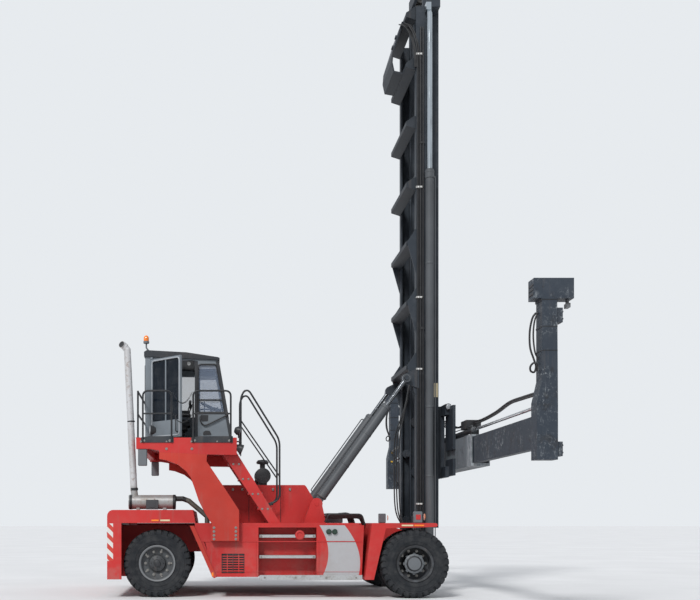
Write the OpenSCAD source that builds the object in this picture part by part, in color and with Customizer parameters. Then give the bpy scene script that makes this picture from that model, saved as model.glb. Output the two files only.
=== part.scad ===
// Empty container handler: a counterbalanced lift truck with a two stage mast and a side lift spreader.
// Millimetres, +X to the front, +Y to the left, +Z up. Lengths along X are written from the drive axle.

/* [Wheels] */
// Tyre radius out to the tips of its lugs
tyre_r = 613; // [580:1:640]
// Tyre width
tyre_w = 320; // [280:1:340]
// Depth of the grooves between the lugs
lug_h = 22; // [12:1:26]
// Lugs round each shoulder
lug_count = 30; // [18:1:40]
// Half width of the band between the two rows of lugs
tread_band = 48; // [30:1:60]
// Radius of the rim's flange
rim_r = 330; // [300:1:360]
// Wall of the rim
rim_wall = 18; // [10:1:30]
// Gap between the twin tyres
twin_gap = 60; // [40:1:80]
// Width over the drive wheels
drive_width = 4000; // [3900:1:4100]
// Width over the steered wheels
steer_width = 3500; // [3440:1:3560]
// Distance between the axles
wheelbase = 4600; // [4500:1:4700]
// Radius of the wheel spindles
spindle_r = 70; // [50:1:90]
// Distance from a kingpin to the middle of its wheel
kingpin_offset = 250; // [230:1:270]
// Radius of the kingpins
kingpin_r = 35; // [25:1:45]

/* [Chassis] */
// Half the outer width of the frame rails
frame_half = 750; // [700:1:780]
// Width of a frame rail
frame_rail_w = 220; // [150:1:260]
// Height of the frame rails' underside
frame_z0 = 800; // [780:1:860]
// Height of the deck's top face
deck_z = 1340; // [1320:1:1400]
// Thickness of the deck plate
deck_t = 40; // [20:1:60]
// Half width of the body's sides
side_half = 1850; // [1800:1:1880]
// Height of the cabinets' underside
cabinet_z0 = 375; // [300:1:450]
// Height of the cabinets' top, under the side band
cabinet_z1 = 1015; // [950:1:1080]
// Front end of the cabinets
cabinet_front = -930; // [-1000:1:-900]
// Reach of the counterweight behind the steered axle
tail_reach = 890; // [860:1:920]
// Top of the rear deck over the steered wheels
rear_deck_z = 1575; // [1540:1:1600]
// Reach of the rear deck ahead of the steered axle
rear_deck_reach = 650; // [620:1:670]
// Reach of the tow jaw behind the counterweight
jaw_reach = 110; // [80:1:140]
// Diameter of the tow pin's bore
jaw_bore = 50; // [30:1:60]
// Length of the engine hood at its foot
hood_rear = -3480; // [-3520:1:-3440]
// Height of the engine hood's top
hood_z = 2060; // [2000:1:2100]
// Half width of the engine hood
hood_half = 800; // [760:1:840]
// Wall of the engine hood
hood_wall = 20; // [10:1:40]

/* [Platform] */
// Rear end of the cab platform
platform_rear = -4960; // [-4980:1:-4940]
// Front end of the cab platform
platform_front = -3170; // [-3200:1:-3140]
// Height of the platform's floor
platform_z = 2860; // [2840:1:2880]
// Thickness of the platform's floor plate
floor_t = 30; // [20:1:40]
// Depth of the platform's edge beams at the rear
beam_rear_h = 200; // [180:1:220]
// Depth of the platform's edge beams at the front
beam_front_h = 310; // [280:1:330]
// Thickness of the arch plates
arch_t = 120; // [60:1:160]
// Diameter of the handrail tubes
rail_d = 34; // [24:1:44]
// Height of the top handrail over the floor
rail_h = 830; // [800:1:900]
// Height of the lower handrail over the floor
knee_rail_h = 425; // [400:1:500]
// Treads of the cab stair
stair_treads = 4; // [3:1:5]

/* [Cab] */
// Half width of the cab
cab_half = 800; // [780:1:820]
// Rear face of the cab
cab_rear = -4880; // [-4900:1:-4860]
// Front of the cab's floor
cab_front = -3230; // [-3260:1:-3210]
// Height of the roof at the rear
roof_rear_z = 4610; // [4580:1:4640]
// Height of the roof at the front
roof_front_z = 4480; // [4460:1:4520]
// Front of the roof
roof_front = -3510; // [-3540:1:-3480]
// Wall of the cab's panels and pillars
cab_wall = 55; // [40:1:70]
// Thickness of the window glass
glass_t = 10; // [6:1:14]
// Length of the door's leaf
door_w = 820; // [800:1:830]

/* [Mast] */
// Height of the mast's tilt pivot
tilt_z = 950; // [930:1:970]
// Distance of the tilt pivot ahead of the drive axle
tilt_x = 50; // [40:1:60]
// Rear face of the outer rails
outer_x0 = 240; // [235:1:245]
// Depth of the outer rails, front to back
outer_depth = 240; // [230:1:250]
// Half the width over the outer rails
outer_half = 850; // [840:1:860]
// Height of the outer rails' foot
outer_z0 = 300; // [280:1:320]
// Height of the outer rails' top
outer_z1 = 11100; // [11050:1:11150]
// Thickness of the rails' webs
rail_web = 30; // [25:1:35]
// Width of the rails' flanges
rail_flange = 150; // [140:1:155]
// Thickness of the rails' flanges
flange_t = 32; // [25:1:40]
// Front face of the inner rails
inner_x1 = 700; // [690:1:705]
// Depth of the inner rails, front to back
inner_depth = 300; // [280:1:320]
// Width of the inner rails
inner_w = 90; // [80:1:100]
// Gap between outer and inner rails
mast_gap = 10; // [8:1:14]
// Length of the inner rails
inner_len = 10700; // [10600:1:10750]
// How far the inner mast is raised as it stands
inner_raised = 1000; // [950:1:1000]
// Rear face of the cross members
cross_x0 = 60; // [50:1:80]
// Height of the cross members
cross_h = 240; // [200:1:260]
// Reach of the gussets behind the outer rails
gusset_reach = 170; // [150:1:180]
// Diameter of the lift cylinders
lift_d = 150; // [140:1:155]
// Diameter of the lift cylinders' rods
lift_rod_d = 100; // [90:1:110]
// Height of the lift cylinders' collar
lift_collar_z = 7910; // [7880:1:7940]
// Height of the lift rods' heads
lift_head_z = 11070; // [11040:1:11090]
// Diameter of the tilt cylinders
tilt_d = 185; // [170:1:195]
// Diameter of the tilt cylinders' rods
tilt_rod_d = 80; // [70:1:90]
// Distance of the tilt cylinders from the middle
tilt_y = 950; // [945:1:955]

/* [Spreader] */
// Width of the carriage
carriage_w = 2000; // [1900:1:2100]
// Underside of the carriage
carriage_z0 = 2200; // [2180:1:2220]
// Top of the carriage
carriage_z1 = 3570; // [3500:1:3600]
// Half length of the spreader's tube
tube_half = 2450; // [2400:1:2500]
// Rear face of the spreader's tube
tube_x0 = 880; // [875:1:885]
// Depth of the spreader's tube, front to back
tube_depth = 320; // [318:1:324]
// Wall of the spreader's tube
tube_wall = 18; // [12:1:19]
// Underside of the spreader's tube
tube_z0 = 2330; // [2320:1:2335]
// Top of the spreader's tube
tube_z1 = 2880; // [2876:1:2890]
// Thickness of a sliding beam, front to back
beam_t = 120; // [110:1:124]
// Height of a sliding beam
beam_h = 460; // [440:1:470]
// Length of a sliding beam
beam_len = 4400; // [4350:1:4450]
// Distance of the arms' outer faces from the middle
arm_out = 6100; // [6080:1:6120]
// Width of an arm
arm_w = 250; // [230:1:270]
// Height of the arms' top
arm_top = 4700; // [4680:1:4720]
// Height of the lock boxes
lock_box_h = 280; // [260:1:300]
// Distance of the locks' axes ahead of the drive axle
lock_x = 1310; // [1300:1:1315]
// Front face of the lock boxes
front_x = 1360; // [1350:1:1365]

/* [Hidden] */
$fn = 48;
fit = 0.05;
door_open = 45;
pivot_r = 55;
seat_gap = 0.3;
axle_shift = 2120;
axle_z = tyre_r;
steer_x = -wheelbase;
tail_x = steer_x - tail_reach;
rear_deck_front = steer_x + rear_deck_reach;
deck_rear = steer_x + 680;
cabinet_rear = steer_x + 860;
cabinet_foot = steer_x + 1020;
grille_x0 = cabinet_foot + 140;
grille_w = 410;
grille_z0 = cabinet_z0 + 65;
grille_h = 350;
grille_slats = 7;
step_front = cabinet_front - 830;
step_rear = step_front - 1000;
body_foot = cabinet_z0 - 45;
drive_mid = drive_width / 2 - tyre_w - twin_gap / 2;
steer_mid = steer_width / 2 - tyre_w / 2;
kingpin_y = steer_mid - kingpin_offset;
bead_r = rim_r - 25;
outer_x1 = outer_x0 + outer_depth;
inner_x0 = inner_x1 - inner_depth;
inner_out = outer_half - rail_flange - mast_gap;
inner_in = inner_out - inner_w;
inner_z0 = outer_z0 - 50 + inner_raised;
inner_z1 = inner_z0 + inner_len;
lift_x = outer_x1 - 5;
lift_y = outer_half + lift_d / 2 + 20;
tilt_base = [-1654, 1700];
tilt_eye = [38, 4060];
tilt_len = norm(tilt_eye - tilt_base);
tilt_barrel_z0 = 150;
tilt_barrel_end = 2240;
tilt_lean = atan2(tilt_eye[0] - tilt_base[0], tilt_eye[1] - tilt_base[1]);
cross_z = [4310, 5520, 6650, 7760, 8920, 10030, 10980];
gusseted = 3;
beam_gap = (tube_depth - 2 * tube_wall - 2 * beam_t) / 3;
beam_z0 = 2380;
hinge_x = -4753;
hinge_y = -cab_half - 28;
hinge_pin_r = 12;
door_foot = platform_z + 70;
door_top = roof_front_z - 55;
fender_out = side_half + 140;
fender_in = fender_out - 700;
stair_out = side_half - 50;
stair_in = stair_out - 750;
stair_side_t = 30;
exhaust_y = -side_half + 250;
arch_top = [[-4550, 2600], [-3700, 2560]];
sill_z = platform_z + 640;
lintel_z = roof_front_z - 140;
pillar_x = cab_front - 640;
carriage_x1 = inner_x1 + 130;
cylinder_z = tube_z1 + 80;
cylinder_d = 90;
cylinder_rod_d = 50;
strand_t = 30;
chain_pitch = 150;
sheave_r = 100;

// Moves a piece from the drive axle's own lengths to the part's frame
module at_axle() {
    translate([axle_shift, 0, 0]) children();
}

// A piece and its mirror image on the left
module both_sides() {
    children();
    mirror([0, 1, 0]) children();
}

// An outline in X and Z, as a plate between two distances to the right of the middle
module side_plate(outline, y_in, y_out) {
    translate([0, -y_in, 0]) rotate([90, 0, 0]) linear_extrude(y_out - y_in) polygon(outline);
}

// A box from its lowest to its highest corner
module block(low, high) {
    translate(low) cube(high - low);
}

// A round bar from one point to another
module rod(from, to, d) {
    v = to - from;
    len = norm(v);
    translate(from) rotate([0, acos(v[2] / len), atan2(v[1], v[0])]) cylinder(h = len, d = d);
}

// A round bar through several points, with a ball at each bend
module tube_path(points, d) {
    for (i = [0 : len(points) - 2]) rod(points[i], points[i + 1], d);
    if (len(points) > 2) for (i = [1 : len(points) - 2]) translate(points[i]) sphere(d = d + 3);
}

// Points of an arc
function arc(centre, r, a0, a1, steps) =
    [for (i = [0 : steps]) centre + r * [cos(a0 + (a1 - a0) * i / steps), sin(a0 + (a1 - a0) * i / steps)]];

// A cylinder across the truck, between two distances to the right of the middle
module cross_pin(x, z, r, y_in, y_out) {
    translate([x, -y_in, z]) rotate([90, 0, 0]) cylinder(h = y_out - y_in, r = r);
}

// A profile of radius and distance to the right, turned about a wheel's axis
module wheel_revolve(profile) {
    rotate([90, 0, 0]) rotate_extrude($fn = 72) polygon(profile);
}

module chassis_frame() {
    color("firebrick") at_axle() {
        both_sides() side_plate([[tail_x + 110, frame_z0], [-60, frame_z0], [100, 880], [100, 1180],
            [-300, deck_z - deck_t], [tail_x + 110, deck_z - deck_t]], frame_half - frame_rail_w, frame_half);
        for (x = [steer_x - 500, steer_x + 800, -1500, -700])
            block([x, -(frame_half - frame_rail_w), frame_z0 + 40],
                [x + 120, frame_half - frame_rail_w, frame_z0 + 340]);
        difference() {
            block([deck_rear, -side_half, deck_z - deck_t], [-980, side_half, deck_z]);
            block([hood_rear + 180, -520, deck_z - 2 * deck_t], [-1850, 520, deck_z + deck_t]);
        }
        both_sides() {
            side_plate([[-60, 780], [-60, 1100], [140, 1060], [140, 900], [60, 780]],
                frame_half - frame_rail_w, frame_half);
            cross_pin(tilt_x, tilt_z, pivot_r, frame_half - 1, outer_half + 25);
            tilt_bracket();
        }
    }
}

// Ears on the deck that carry a tilt cylinder's base pin
module tilt_bracket() {
    ear = concat([[-1900, deck_z - 1], [-1480, deck_z - 1]],
        arc(tilt_base, 110, -20, 160, 8));
    side_plate(ear, tilt_y - 90, tilt_y - 60);
    side_plate(ear, tilt_y + 60, tilt_y + 90);
    cross_pin(tilt_base[0], tilt_base[1], 40, tilt_y - 95, tilt_y + 95);
}

module engine_block() {
    color("dimgray") at_axle() {
        block([-3150, -420, 880], [-1950, 420, 1900]);
        for (x = [-3000, -2200])
            block([x, -frame_half + frame_rail_w, 900], [x + 120, frame_half - frame_rail_w, 980]);
    }
}

module side_cabinets() {
    color("firebrick") at_axle() both_sides() {
        difference() {
            side_plate([[cabinet_foot, cabinet_z0], [cabinet_front, cabinet_z0],
                [cabinet_front + 40, deck_z - deck_t],
                [deck_rear, deck_z - deck_t], [deck_rear + 20, cabinet_z1], [cabinet_rear, cabinet_z1]],
                frame_half + 60, side_half);
            block([step_rear - 20, -side_half - 10, cabinet_z0 - 10],
                [step_front + 20, -side_half + 260, deck_z - 80]);
            block([grille_x0, -side_half - 10, grille_z0],
                [grille_x0 + grille_w, -side_half + 25, grille_z0 + grille_h]);
        }
        for (i = [1 : grille_slats])
            block([grille_x0, -side_half + 3, grille_z0 + i * grille_h / (grille_slats + 1) - 9],
                [grille_x0 + grille_w, -side_half + 26, grille_z0 + i * grille_h / (grille_slats + 1) + 9]);
        for (i = [1 : 3])
            block([grille_x0 + i * grille_w / 4 - 8, -side_half + 3, grille_z0],
                [grille_x0 + i * grille_w / 4 + 8, -side_half + 26, grille_z0 + grille_h]);
        side_plate([[deck_rear, deck_z - deck_t], [deck_rear + 55, deck_z - deck_t], [cabinet_foot + 55, 370],
            [cabinet_foot, 370]], side_half - 60, side_half);
    }
}

module access_steps() {
    color("silver") at_axle() both_sides() {
        for (z = [1130, 760])
            block([step_rear, -side_half, z - 50], [step_front, -side_half + 260, z]);
        block([step_rear, -side_half - 60, body_foot - 10], [cabinet_front, -side_half, body_foot + 80]);
    }
}

module counterweight() {
    color("firebrick") at_axle() difference() {
        union() {
            block([tail_x, -frame_half, body_foot], [steer_x - 300, frame_half, frame_z0]);
            block([tail_x, -side_half + 60, body_foot], [tail_x + 110, side_half - 60, deck_z]);
            both_sides() translate([0, 0, body_foot]) linear_extrude(deck_z - body_foot)
                polygon([[tail_x, -side_half], [tail_x + 255, -side_half], [tail_x + 255, -side_half + 50],
                    [tail_x + 130, -side_half + 300], [tail_x, -side_half + 300]]);
            for (z = [560, 700]) jaw_plate(z);
        }
        translate([tail_x - jaw_reach / 2 - 5, 0, 500]) cylinder(h = 300, d = jaw_bore);
    }
}

// One plate of the tow jaw
module jaw_plate(z) {
    block([tail_x - jaw_reach, -90, z], [tail_x + 1, 90, z + 40]);
}

module rear_deck() {
    color("firebrick") at_axle() rotate([90, 0, 0]) translate([0, 0, -side_half]) linear_extrude(2 * side_half)
        polygon(concat([[tail_x, deck_z], [rear_deck_front + 40, deck_z], [rear_deck_front, rear_deck_z]],
            arc([tail_x + 110, rear_deck_z - 110], 110, 90, 180, 8)));
}

module front_fenders() {
    color("firebrick") at_axle() both_sides() {
        side_plate([[-895, 330], [-735, 330], [-520, 1245], [380, 1270], [400, 1300],
            [385, 1332], [350, deck_z], [-770, deck_z]], fender_in, fender_out);
        block([-760, -fender_in - 1, 900], [-620, -frame_half, deck_z]);
    }
}

module engine_hood() {
    outline = [[hood_rear, deck_z], [-1710, deck_z], [-1680, 1780],
        [-1830, hood_z - 30], [-1860, hood_z], [hood_rear, hood_z]];
    color("firebrick") at_axle() difference() {
        translate([0, hood_half, 0]) side_plate(outline, 0, 2 * hood_half);
        block([hood_rear + hood_wall, -hood_half + hood_wall, deck_z - 10],
            [-1720, hood_half - hood_wall, 1760]);
        block([hood_rear + hood_wall, -hood_half + hood_wall, deck_z - 10],
            [-1880, hood_half - hood_wall, hood_z - hood_wall]);
    }
}

// The curved outline of an arch, foot first
function arch_outline() = [[-3630, 1020], [-3130, 1020], [-3130, 1570], [-3420, 2010], [-3710, 2440],
    arch_top[1], arch_top[0], [-4550, 2480], [-4430, 2460], [-4220, 2380], [-4080, 2270], [-3990, 2150],
    [-3920, 1950], [-3850, 1740], [-3740, 1520], [-3620, 1330]];

module pedestal_arches() {
    color("orangered") at_axle() both_sides() side_plate(arch_outline(), side_half, side_half + arch_t);
}

module cab_platform() {
    color("firebrick") at_axle() {
        block([platform_rear, -side_half - arch_t, platform_z - floor_t],
            [platform_front, side_half + arch_t, platform_z]);
        both_sides() side_plate([[platform_rear, platform_z - beam_rear_h], [-4720, platform_z - beam_rear_h],
            [-4550, platform_z - beam_rear_h - 30], arch_top[0], arch_top[1],
            [platform_front, platform_z - beam_front_h], [platform_front, platform_z - floor_t],
            [platform_rear, platform_z - floor_t]], side_half, side_half + arch_t);
        for (x = [platform_rear, -4200, platform_front - 120])
            block([x, -side_half, platform_z - 180], [x + 120, side_half, platform_z - floor_t]);
    }
}

module cab_stair() {
    top = [-3352, platform_z - 180];
    foot = [-2488, deck_z];
    color("firebrick") at_axle() {
        for (y = [stair_in, stair_out - stair_side_t])
            side_plate([[-3487, platform_z - 180], [-2593, deck_z], [-2383, deck_z],
                [-3217, platform_z - 180]], y, y + stair_side_t);
        for (i = [1 : stair_treads]) {
            p = foot + (top - foot) * i / (stair_treads + 1);
            block([p[0] - 130, -stair_out + stair_side_t, p[1] - 30],
                [p[0] + 130, -stair_in - stair_side_t, p[1]]);
        }
    }
}

module platform_rails() {
    top = platform_z + rail_h;
    knee = platform_z + knee_rail_h;
    y = side_half + arch_t + rail_d / 2 + 0.2;
    color("darkslategray") at_axle() both_sides() for (group = [[-4840, -4330], [-3945, -3278]]) {
        tube_path([[group[0], -y, platform_z - 80], [group[0], -y, top], [group[1], -y, top],
            [group[1], -y, platform_z - 80]], rail_d);
        rod([group[0], -y, knee], [group[1], -y, knee], rail_d);
    }
}

module rear_rail() {
    x = platform_rear + rail_d / 2 + 5;
    color("darkslategray") at_axle() {
        for (y = [-side_half, side_half]) rod([x, y, platform_z], [x, y, platform_z + rail_h], rail_d);
        for (h = [knee_rail_h, rail_h])
            rod([x, -side_half, platform_z + h], [x, side_half, platform_z + h], rail_d);
    }
}

// A stair rail's bends in X and Z, from its top end
stair_bends = [[-3095, 2620], [-3095, 3600], [-3050, 3690], [-2975, 3710], [-2915, 3660], [-2420, 2860],
    [-2400, 2800], [-2400, 1790], [-2440, 1730], [-2540, 1690]];

module stair_rails() {
    color("darkslategray") at_axle() for (side = [[-stair_out - 17, -stair_out - 12, -stair_out],
            [-stair_in + 17, -stair_in, -stair_in + 12]]) {
        tube_path([for (p = stair_bends) [p[0], side[0], p[1]]], rail_d);
        rod([stair_bends[0][0], side[0], 3180], [-2410, side[0], 2190], 26);
        for (z = [2720, 2800]) rod([platform_front, side[0], z], [stair_bends[0][0], side[0], z], 26);
        block([-2575, side[1], 1660], [-2515, side[2], 1720]);
    }
}

// The cab's outline seen from the side, pulled in by a wall
function cab_outline(w) = [[cab_rear + w, platform_z + w], [cab_front - w, platform_z + w],
    [roof_front - w, roof_front_z - w], [cab_rear + w, roof_rear_z - w]];

// Thickness of the seal between the shell and the roof
roof_seal = 0.3;

// Height of the roof's underside
function roof_under(x) = roof_rear_z - 120
    + (x - cab_rear) * (roof_front_z - roof_rear_z + 65) / (roof_front - cab_rear);

module cab_shell() {
    color("gainsboro") at_axle() difference() {
        translate([0, cab_half, 0]) side_plate(cab_outline(0), 0, 2 * cab_half);
        translate([0, cab_half - cab_wall, 0]) side_plate(cab_outline(cab_wall), 0, 2 * (cab_half - cab_wall));
        translate([0, cab_half + 10, 0]) side_plate([[cab_rear - 20, roof_under(cab_rear - 20) - roof_seal],
            [cab_front, roof_under(cab_front) - roof_seal], [cab_front, roof_rear_z + 50],
            [cab_rear - 20, roof_rear_z + 50]], 0, 2 * cab_half + 20);
        cab_windows();
        block([hinge_x + 30, -cab_half - 10, door_foot], [hinge_x + door_w - 8, -cab_half + cab_wall + 10, door_top]);
    }
    color("dimgray") for (z = [door_foot - 45, door_top + 10]) hinge_lug(z);
}

// A lug on the cab's side, round a pin of the door
module hinge_lug(z) {
    at_axle() difference() {
        union() {
            translate([hinge_x, hinge_y, z]) cylinder(h = 35, r = 26);
            block([hinge_x - 26, hinge_y, z], [hinge_x + 26, -cab_half, z + 35]);
        }
        translate([hinge_x, hinge_y, z - 1]) cylinder(h = 37, r = hinge_pin_r + fit);
    }
}

// The front side windows' outline
function side_window() = [[pillar_x, sill_z - 60], [cab_front - 150, sill_z - 60], [roof_front - 30, lintel_z],
    [pillar_x, lintel_z]];

// Lowest and highest corner of the other windows: left side, rear and windscreen
side_light = [[hinge_x, cab_half - cab_wall - 10, sill_z], [pillar_x - 70, cab_half + 10, lintel_z]];
rear_light = [[cab_rear - 10, -cab_half + 120, sill_z], [cab_rear + cab_wall + 10, cab_half - 120, lintel_z]];
screen = [[roof_front - 190, -cab_half + 90, sill_z - 160], [cab_front + 10, cab_half - 90, lintel_z]];

module cab_windows() {
    translate([0, cab_half + 10, 0]) side_plate(side_window(), 0, 2 * cab_half + 20);
    for (w = [side_light, rear_light, screen]) block(w[0], w[1]);
}

module cab_roof() {
    color("dimgray") at_axle() translate([0, cab_half + 30, 0])
        side_plate([[cab_rear - 20, roof_under(cab_rear - 20)],
        [roof_front + 40, roof_under(roof_front + 40)], [roof_front + 40, roof_front_z - 15], [roof_front, roof_front_z],
        [-4100, roof_rear_z - 40], [cab_rear + 30, roof_rear_z], [cab_rear - 20, roof_rear_z - 30]], 0, 2 * cab_half + 60);
}

module cab_glass() {
    color("midnightblue") at_axle() {
        both_sides() side_plate(side_window(), cab_half - 20 - glass_t, cab_half - 20);
        block([side_light[0][0], cab_half - 30, side_light[0][2]], [side_light[1][0], cab_half - 30 + glass_t, lintel_z]);
        block([cab_rear + 20, rear_light[0][1], sill_z], [cab_rear + 20 + glass_t, rear_light[1][1], lintel_z]);
        intersection() {
            block(screen[0], screen[1]);
            translate([0, cab_half, 0]) difference() {
                side_plate(cab_outline(15), 0, 2 * cab_half);
                translate([0, 1, 0]) side_plate(cab_outline(15 + glass_t), 0, 2 * cab_half + 2);
            }
        }
    }
}

module operator_seat() {
    color("dimgray") at_axle() {
        block([-4480, -230, platform_z + cab_wall], [-4120, 230, 3240]);
        block([-4540, -260, 3240], [-4040, 260, 3360]);
        translate([-4500, 0, 3360]) rotate([0, -8, 0]) block([-60, -250, -30], [60, 250, 640]);
    }
}

module cab_console() {
    color("dimgray") at_axle() {
        block([cab_front - 330, -260, platform_z + cab_wall], [cab_front - 210, 260, platform_z + 700]);
        rod([cab_front - 320, 0, platform_z + 520], [cab_front - 430, 0, platform_z + 760], 50);
    }
}

// X and Z of the corners of the exhaust stack and of the pipe to it
stack_bends = [[-5000, 1720], [-5030, 1950], [-5150, 4480], [-5215, 4560]];
pipe_bends = [[-4300, 1780], [-4140, 1780], [-4030, 1740], [-3700, 1460], [-3700, deck_z]];

module exhaust() {
    color("rosybrown") at_axle() {
        translate([-5120, exhaust_y, 1720]) rotate([0, 90, 0]) cylinder(h = 830, r = 128);
        for (x = [-4980, -4500]) block([x, exhaust_y - 80, rear_deck_z], [x + 60, exhaust_y + 80, 1640]);
        tube_path([for (p = stack_bends) [p[0], exhaust_y, p[1]]], 125);
        tube_path([for (p = pipe_bends) [p[0], exhaust_y, p[1]]], 90);
    }
}

module air_cleaner() {
    color("dimgray") at_axle() {
        translate([-2650, -330, hood_z + 175]) rotate([90, 0, 0]) cylinder(h = 470, r = 145);
        for (y = [-760, -440]) block([-2730, y, hood_z], [-2570, y + 60, hood_z + 100]);
    }
}

module drive_axle() {
    color("dimgray") at_axle() {
        translate([-40, 0, axle_z]) sphere(r = 190);
        translate([0, 0, axle_z]) rotate([90, 0, 0])
            cylinder(h = 2 * (drive_mid - tyre_w - 40), r = 150, center = true);
        both_sides() {
            cross_pin(0, axle_z, spindle_r, 400, drive_mid + 120);
            block([-60, -frame_half, axle_z], [60, -frame_half + frame_rail_w, 780]);
        }
    }
}

module steer_axle() {
    color("dimgray") at_axle() {
        block([steer_x - 90, -kingpin_y, axle_z - 80], [steer_x + 90, kingpin_y, axle_z + 80]);
        block([steer_x - 120, -frame_half + 40, axle_z + 80], [steer_x + 120, frame_half - 40, frame_z0]);
        both_sides() translate([steer_x, -kingpin_y, axle_z - 170]) cylinder(h = 340, r = kingpin_r);
    }
}

module body_lamps() {
    color("orange") at_axle() translate([cab_rear + 40, -420, roof_rear_z]) {
        cylinder(h = 230, r = 17);
        translate([0, 0, 165]) cylinder(h = 50, r = 55);
        translate([0, 0, 210]) cylinder(h = 70, r = 48);
        translate([0, 0, 280]) sphere(r = 48);
    }
    color("orange") at_axle() both_sides() {
        block([-20, -fender_out + 10, deck_z], [170, -fender_out + 130, deck_z + 220]);
        block([platform_rear + 30, -side_half - arch_t + 10, platform_z - 500],
            [platform_rear + 190, -side_half - 10, platform_z - beam_rear_h]);
    }
}

// Rear and front edge of each pane of the door
door_panes = [[45, door_w / 2 - 18], [door_w / 2 + 10, door_w - 45]];

// A leaf along +X from its hinge, turned to where it stands
module at_hinge() {
    at_axle() translate([hinge_x, hinge_y, 0]) rotate([0, 0, -door_open]) children();
}

module cab_door() {
    color("gainsboro") at_hinge() {
        difference() {
            block([0, -20, door_foot], [door_w - 8, 20, door_top]);
            for (pane = door_panes) block([pane[0], -30, door_foot + 320], [pane[1], 30, door_top - 45]);
        }
        translate([0, 0, door_foot - 40]) cylinder(h = door_top - door_foot + 80, r = hinge_pin_r);
    }
}

module door_glass() {
    color("midnightblue") at_hinge() {
        for (pane = door_panes)
            block([pane[0], -glass_t / 2, door_foot + 320], [pane[1], glass_t / 2, door_top - 45]);
    }
}

// A tyre's section from its bead, as radius and distance from its middle
function tyre_profile() = let (h = tyre_w / 2) [[bead_r, -h + 35], [bead_r + 40, -h + 8],
    [(bead_r + tyre_r) / 2, -h],
    [tyre_r - 60, -h + 10], [tyre_r - 12, -h + 40], [tyre_r, -h + 75], [tyre_r, h - 75], [tyre_r - 12, h - 40],
    [tyre_r - 60, h - 10], [(bead_r + tyre_r) / 2, h], [bead_r + 40, h - 8], [bead_r, h - 35]];

module tyre() {
    color([0.12, 0.12, 0.12]) difference() {
        wheel_revolve(tyre_profile());
        tread_grooves();
        mirror([0, 1, 0]) rotate([0, 180 / lug_count, 0]) tread_grooves();
    }
}

// The grooves between the lugs at one shoulder of a tyre
module tread_grooves() {
    groove_w = PI * tyre_r / lug_count * 0.6;
    for (i = [0 : lug_count - 1]) rotate([0, 360 * i / lug_count, 0])
        block([tyre_r - lug_h, -tyre_w / 2 - 5, -groove_w / 2], [tyre_r + 5, -tread_band, groove_w / 2]);
}

// Puts a wheel on its axle, side 1 to the right and -1 to the left
module at_wheel(x, y, side) {
    at_axle() translate([x, -side * y, axle_z]) mirror([0, side > 0 ? 0 : 1, 0]) children();
}

module drive_tyres(side) {
    for (k = [-1, 1]) at_wheel(0, drive_mid + k * (tyre_w + twin_gap) / 2, side) tyre();
}

// Both rims of a twin wheel, with their hub, about the gap between the tyres
function twin_rim_profile() = let (e = twin_gap / 2 + tyre_w, s = spindle_r + fit)
    [[s, -e + 20], [230, -e + 20],
    [230, 40], [bead_r - rim_wall, 60], [bead_r - rim_wall, -e + 10], [rim_r - 8, -e - 2], [rim_r, -e + 4],
    [bead_r, -e + 35], [bead_r, e - 35], [rim_r, e - 4], [rim_r - 8, e + 2], [bead_r - rim_wall, e - 10],
    [bead_r - rim_wall, 90], [180, 80], [170, 240], [120, 270], [0, 275], [0, 130], [s, 130]];

module drive_rims(side) {
    color([0.2, 0.2, 0.22]) at_wheel(0, drive_mid, side) wheel_revolve(twin_rim_profile());
}

module knuckle(side) {
    color("dimgray") at_wheel(steer_x, kingpin_y, side) {
        for (z = [-150, 90]) difference() {
            union() {
                translate([0, 0, z]) cylinder(h = 60, r = 75);
                block([-70, -130, z], [70, 0, z + 60]);
            }
            translate([0, 0, z - 1]) cylinder(h = 62, r = kingpin_r + fit);
        }
        block([-90, -130, -150], [90, -90, 150]);
        cross_pin(0, 0, spindle_r, 130, kingpin_offset + 60);
    }
}

module steer_tyre(side) {
    at_wheel(steer_x, steer_mid, side) tyre();
}

// A single rim with its disc and hub
function single_rim_profile() = let (e = tyre_w / 2, s = spindle_r + fit) [[s, -60], [130, -60], [130, 20],
    [bead_r - rim_wall, 40], [bead_r - rim_wall, -e + 10], [rim_r - 8, -e - 2], [rim_r, -e + 4],
    [bead_r, -e + 35], [bead_r, e - 35], [rim_r, e - 4], [rim_r - 8, e + 2], [bead_r - rim_wall, e - 10],
    [bead_r - rim_wall, 70], [150, 50], [140, 110], [80, 130], [0, 135], [0, 70], [s, 70]];

module steer_rim(side) {
    color("silver") at_wheel(steer_x, steer_mid, side) wheel_revolve(single_rim_profile());
}

// Puts a shape along +Z on the line of a tilt cylinder, from its base pin
module on_tilt_line() {
    at_axle() both_sides() translate([tilt_base[0], -tilt_y, tilt_base[1]]) rotate([0, tilt_lean, 0]) children();
}

module tilt_barrels() {
    color("dimgray") on_tilt_line() difference() {
        union() {
            rotate([90, 0, 0]) cylinder(h = 110, r = 85, center = true);
            translate([-70, -50, 0]) cube([140, 100, tilt_barrel_z0 + 5]);
            translate([0, 0, tilt_barrel_z0]) cylinder(h = tilt_barrel_end - tilt_barrel_z0, d = tilt_d);
        }
        rotate([90, 0, 0]) cylinder(h = 120, r = 40 + fit, center = true);
        translate([0, 0, 240]) cylinder(h = tilt_barrel_end - 340, r = tilt_rod_d / 2 + 10);
        translate([0, 0, 240]) cylinder(h = tilt_barrel_end, r = tilt_rod_d / 2 + fit);
    }
}

module tilt_rods() {
    color("silver") on_tilt_line() difference() {
        union() {
            translate([0, 0, 560]) cylinder(h = tilt_len - 620, d = tilt_rod_d);
            translate([0, 0, tilt_len]) rotate([90, 0, 0]) cylinder(h = 90, r = 80, center = true);
        }
        translate([0, 0, tilt_len]) rotate([90, 0, 0]) cylinder(h = 100, r = 46, center = true);
    }
}

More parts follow.
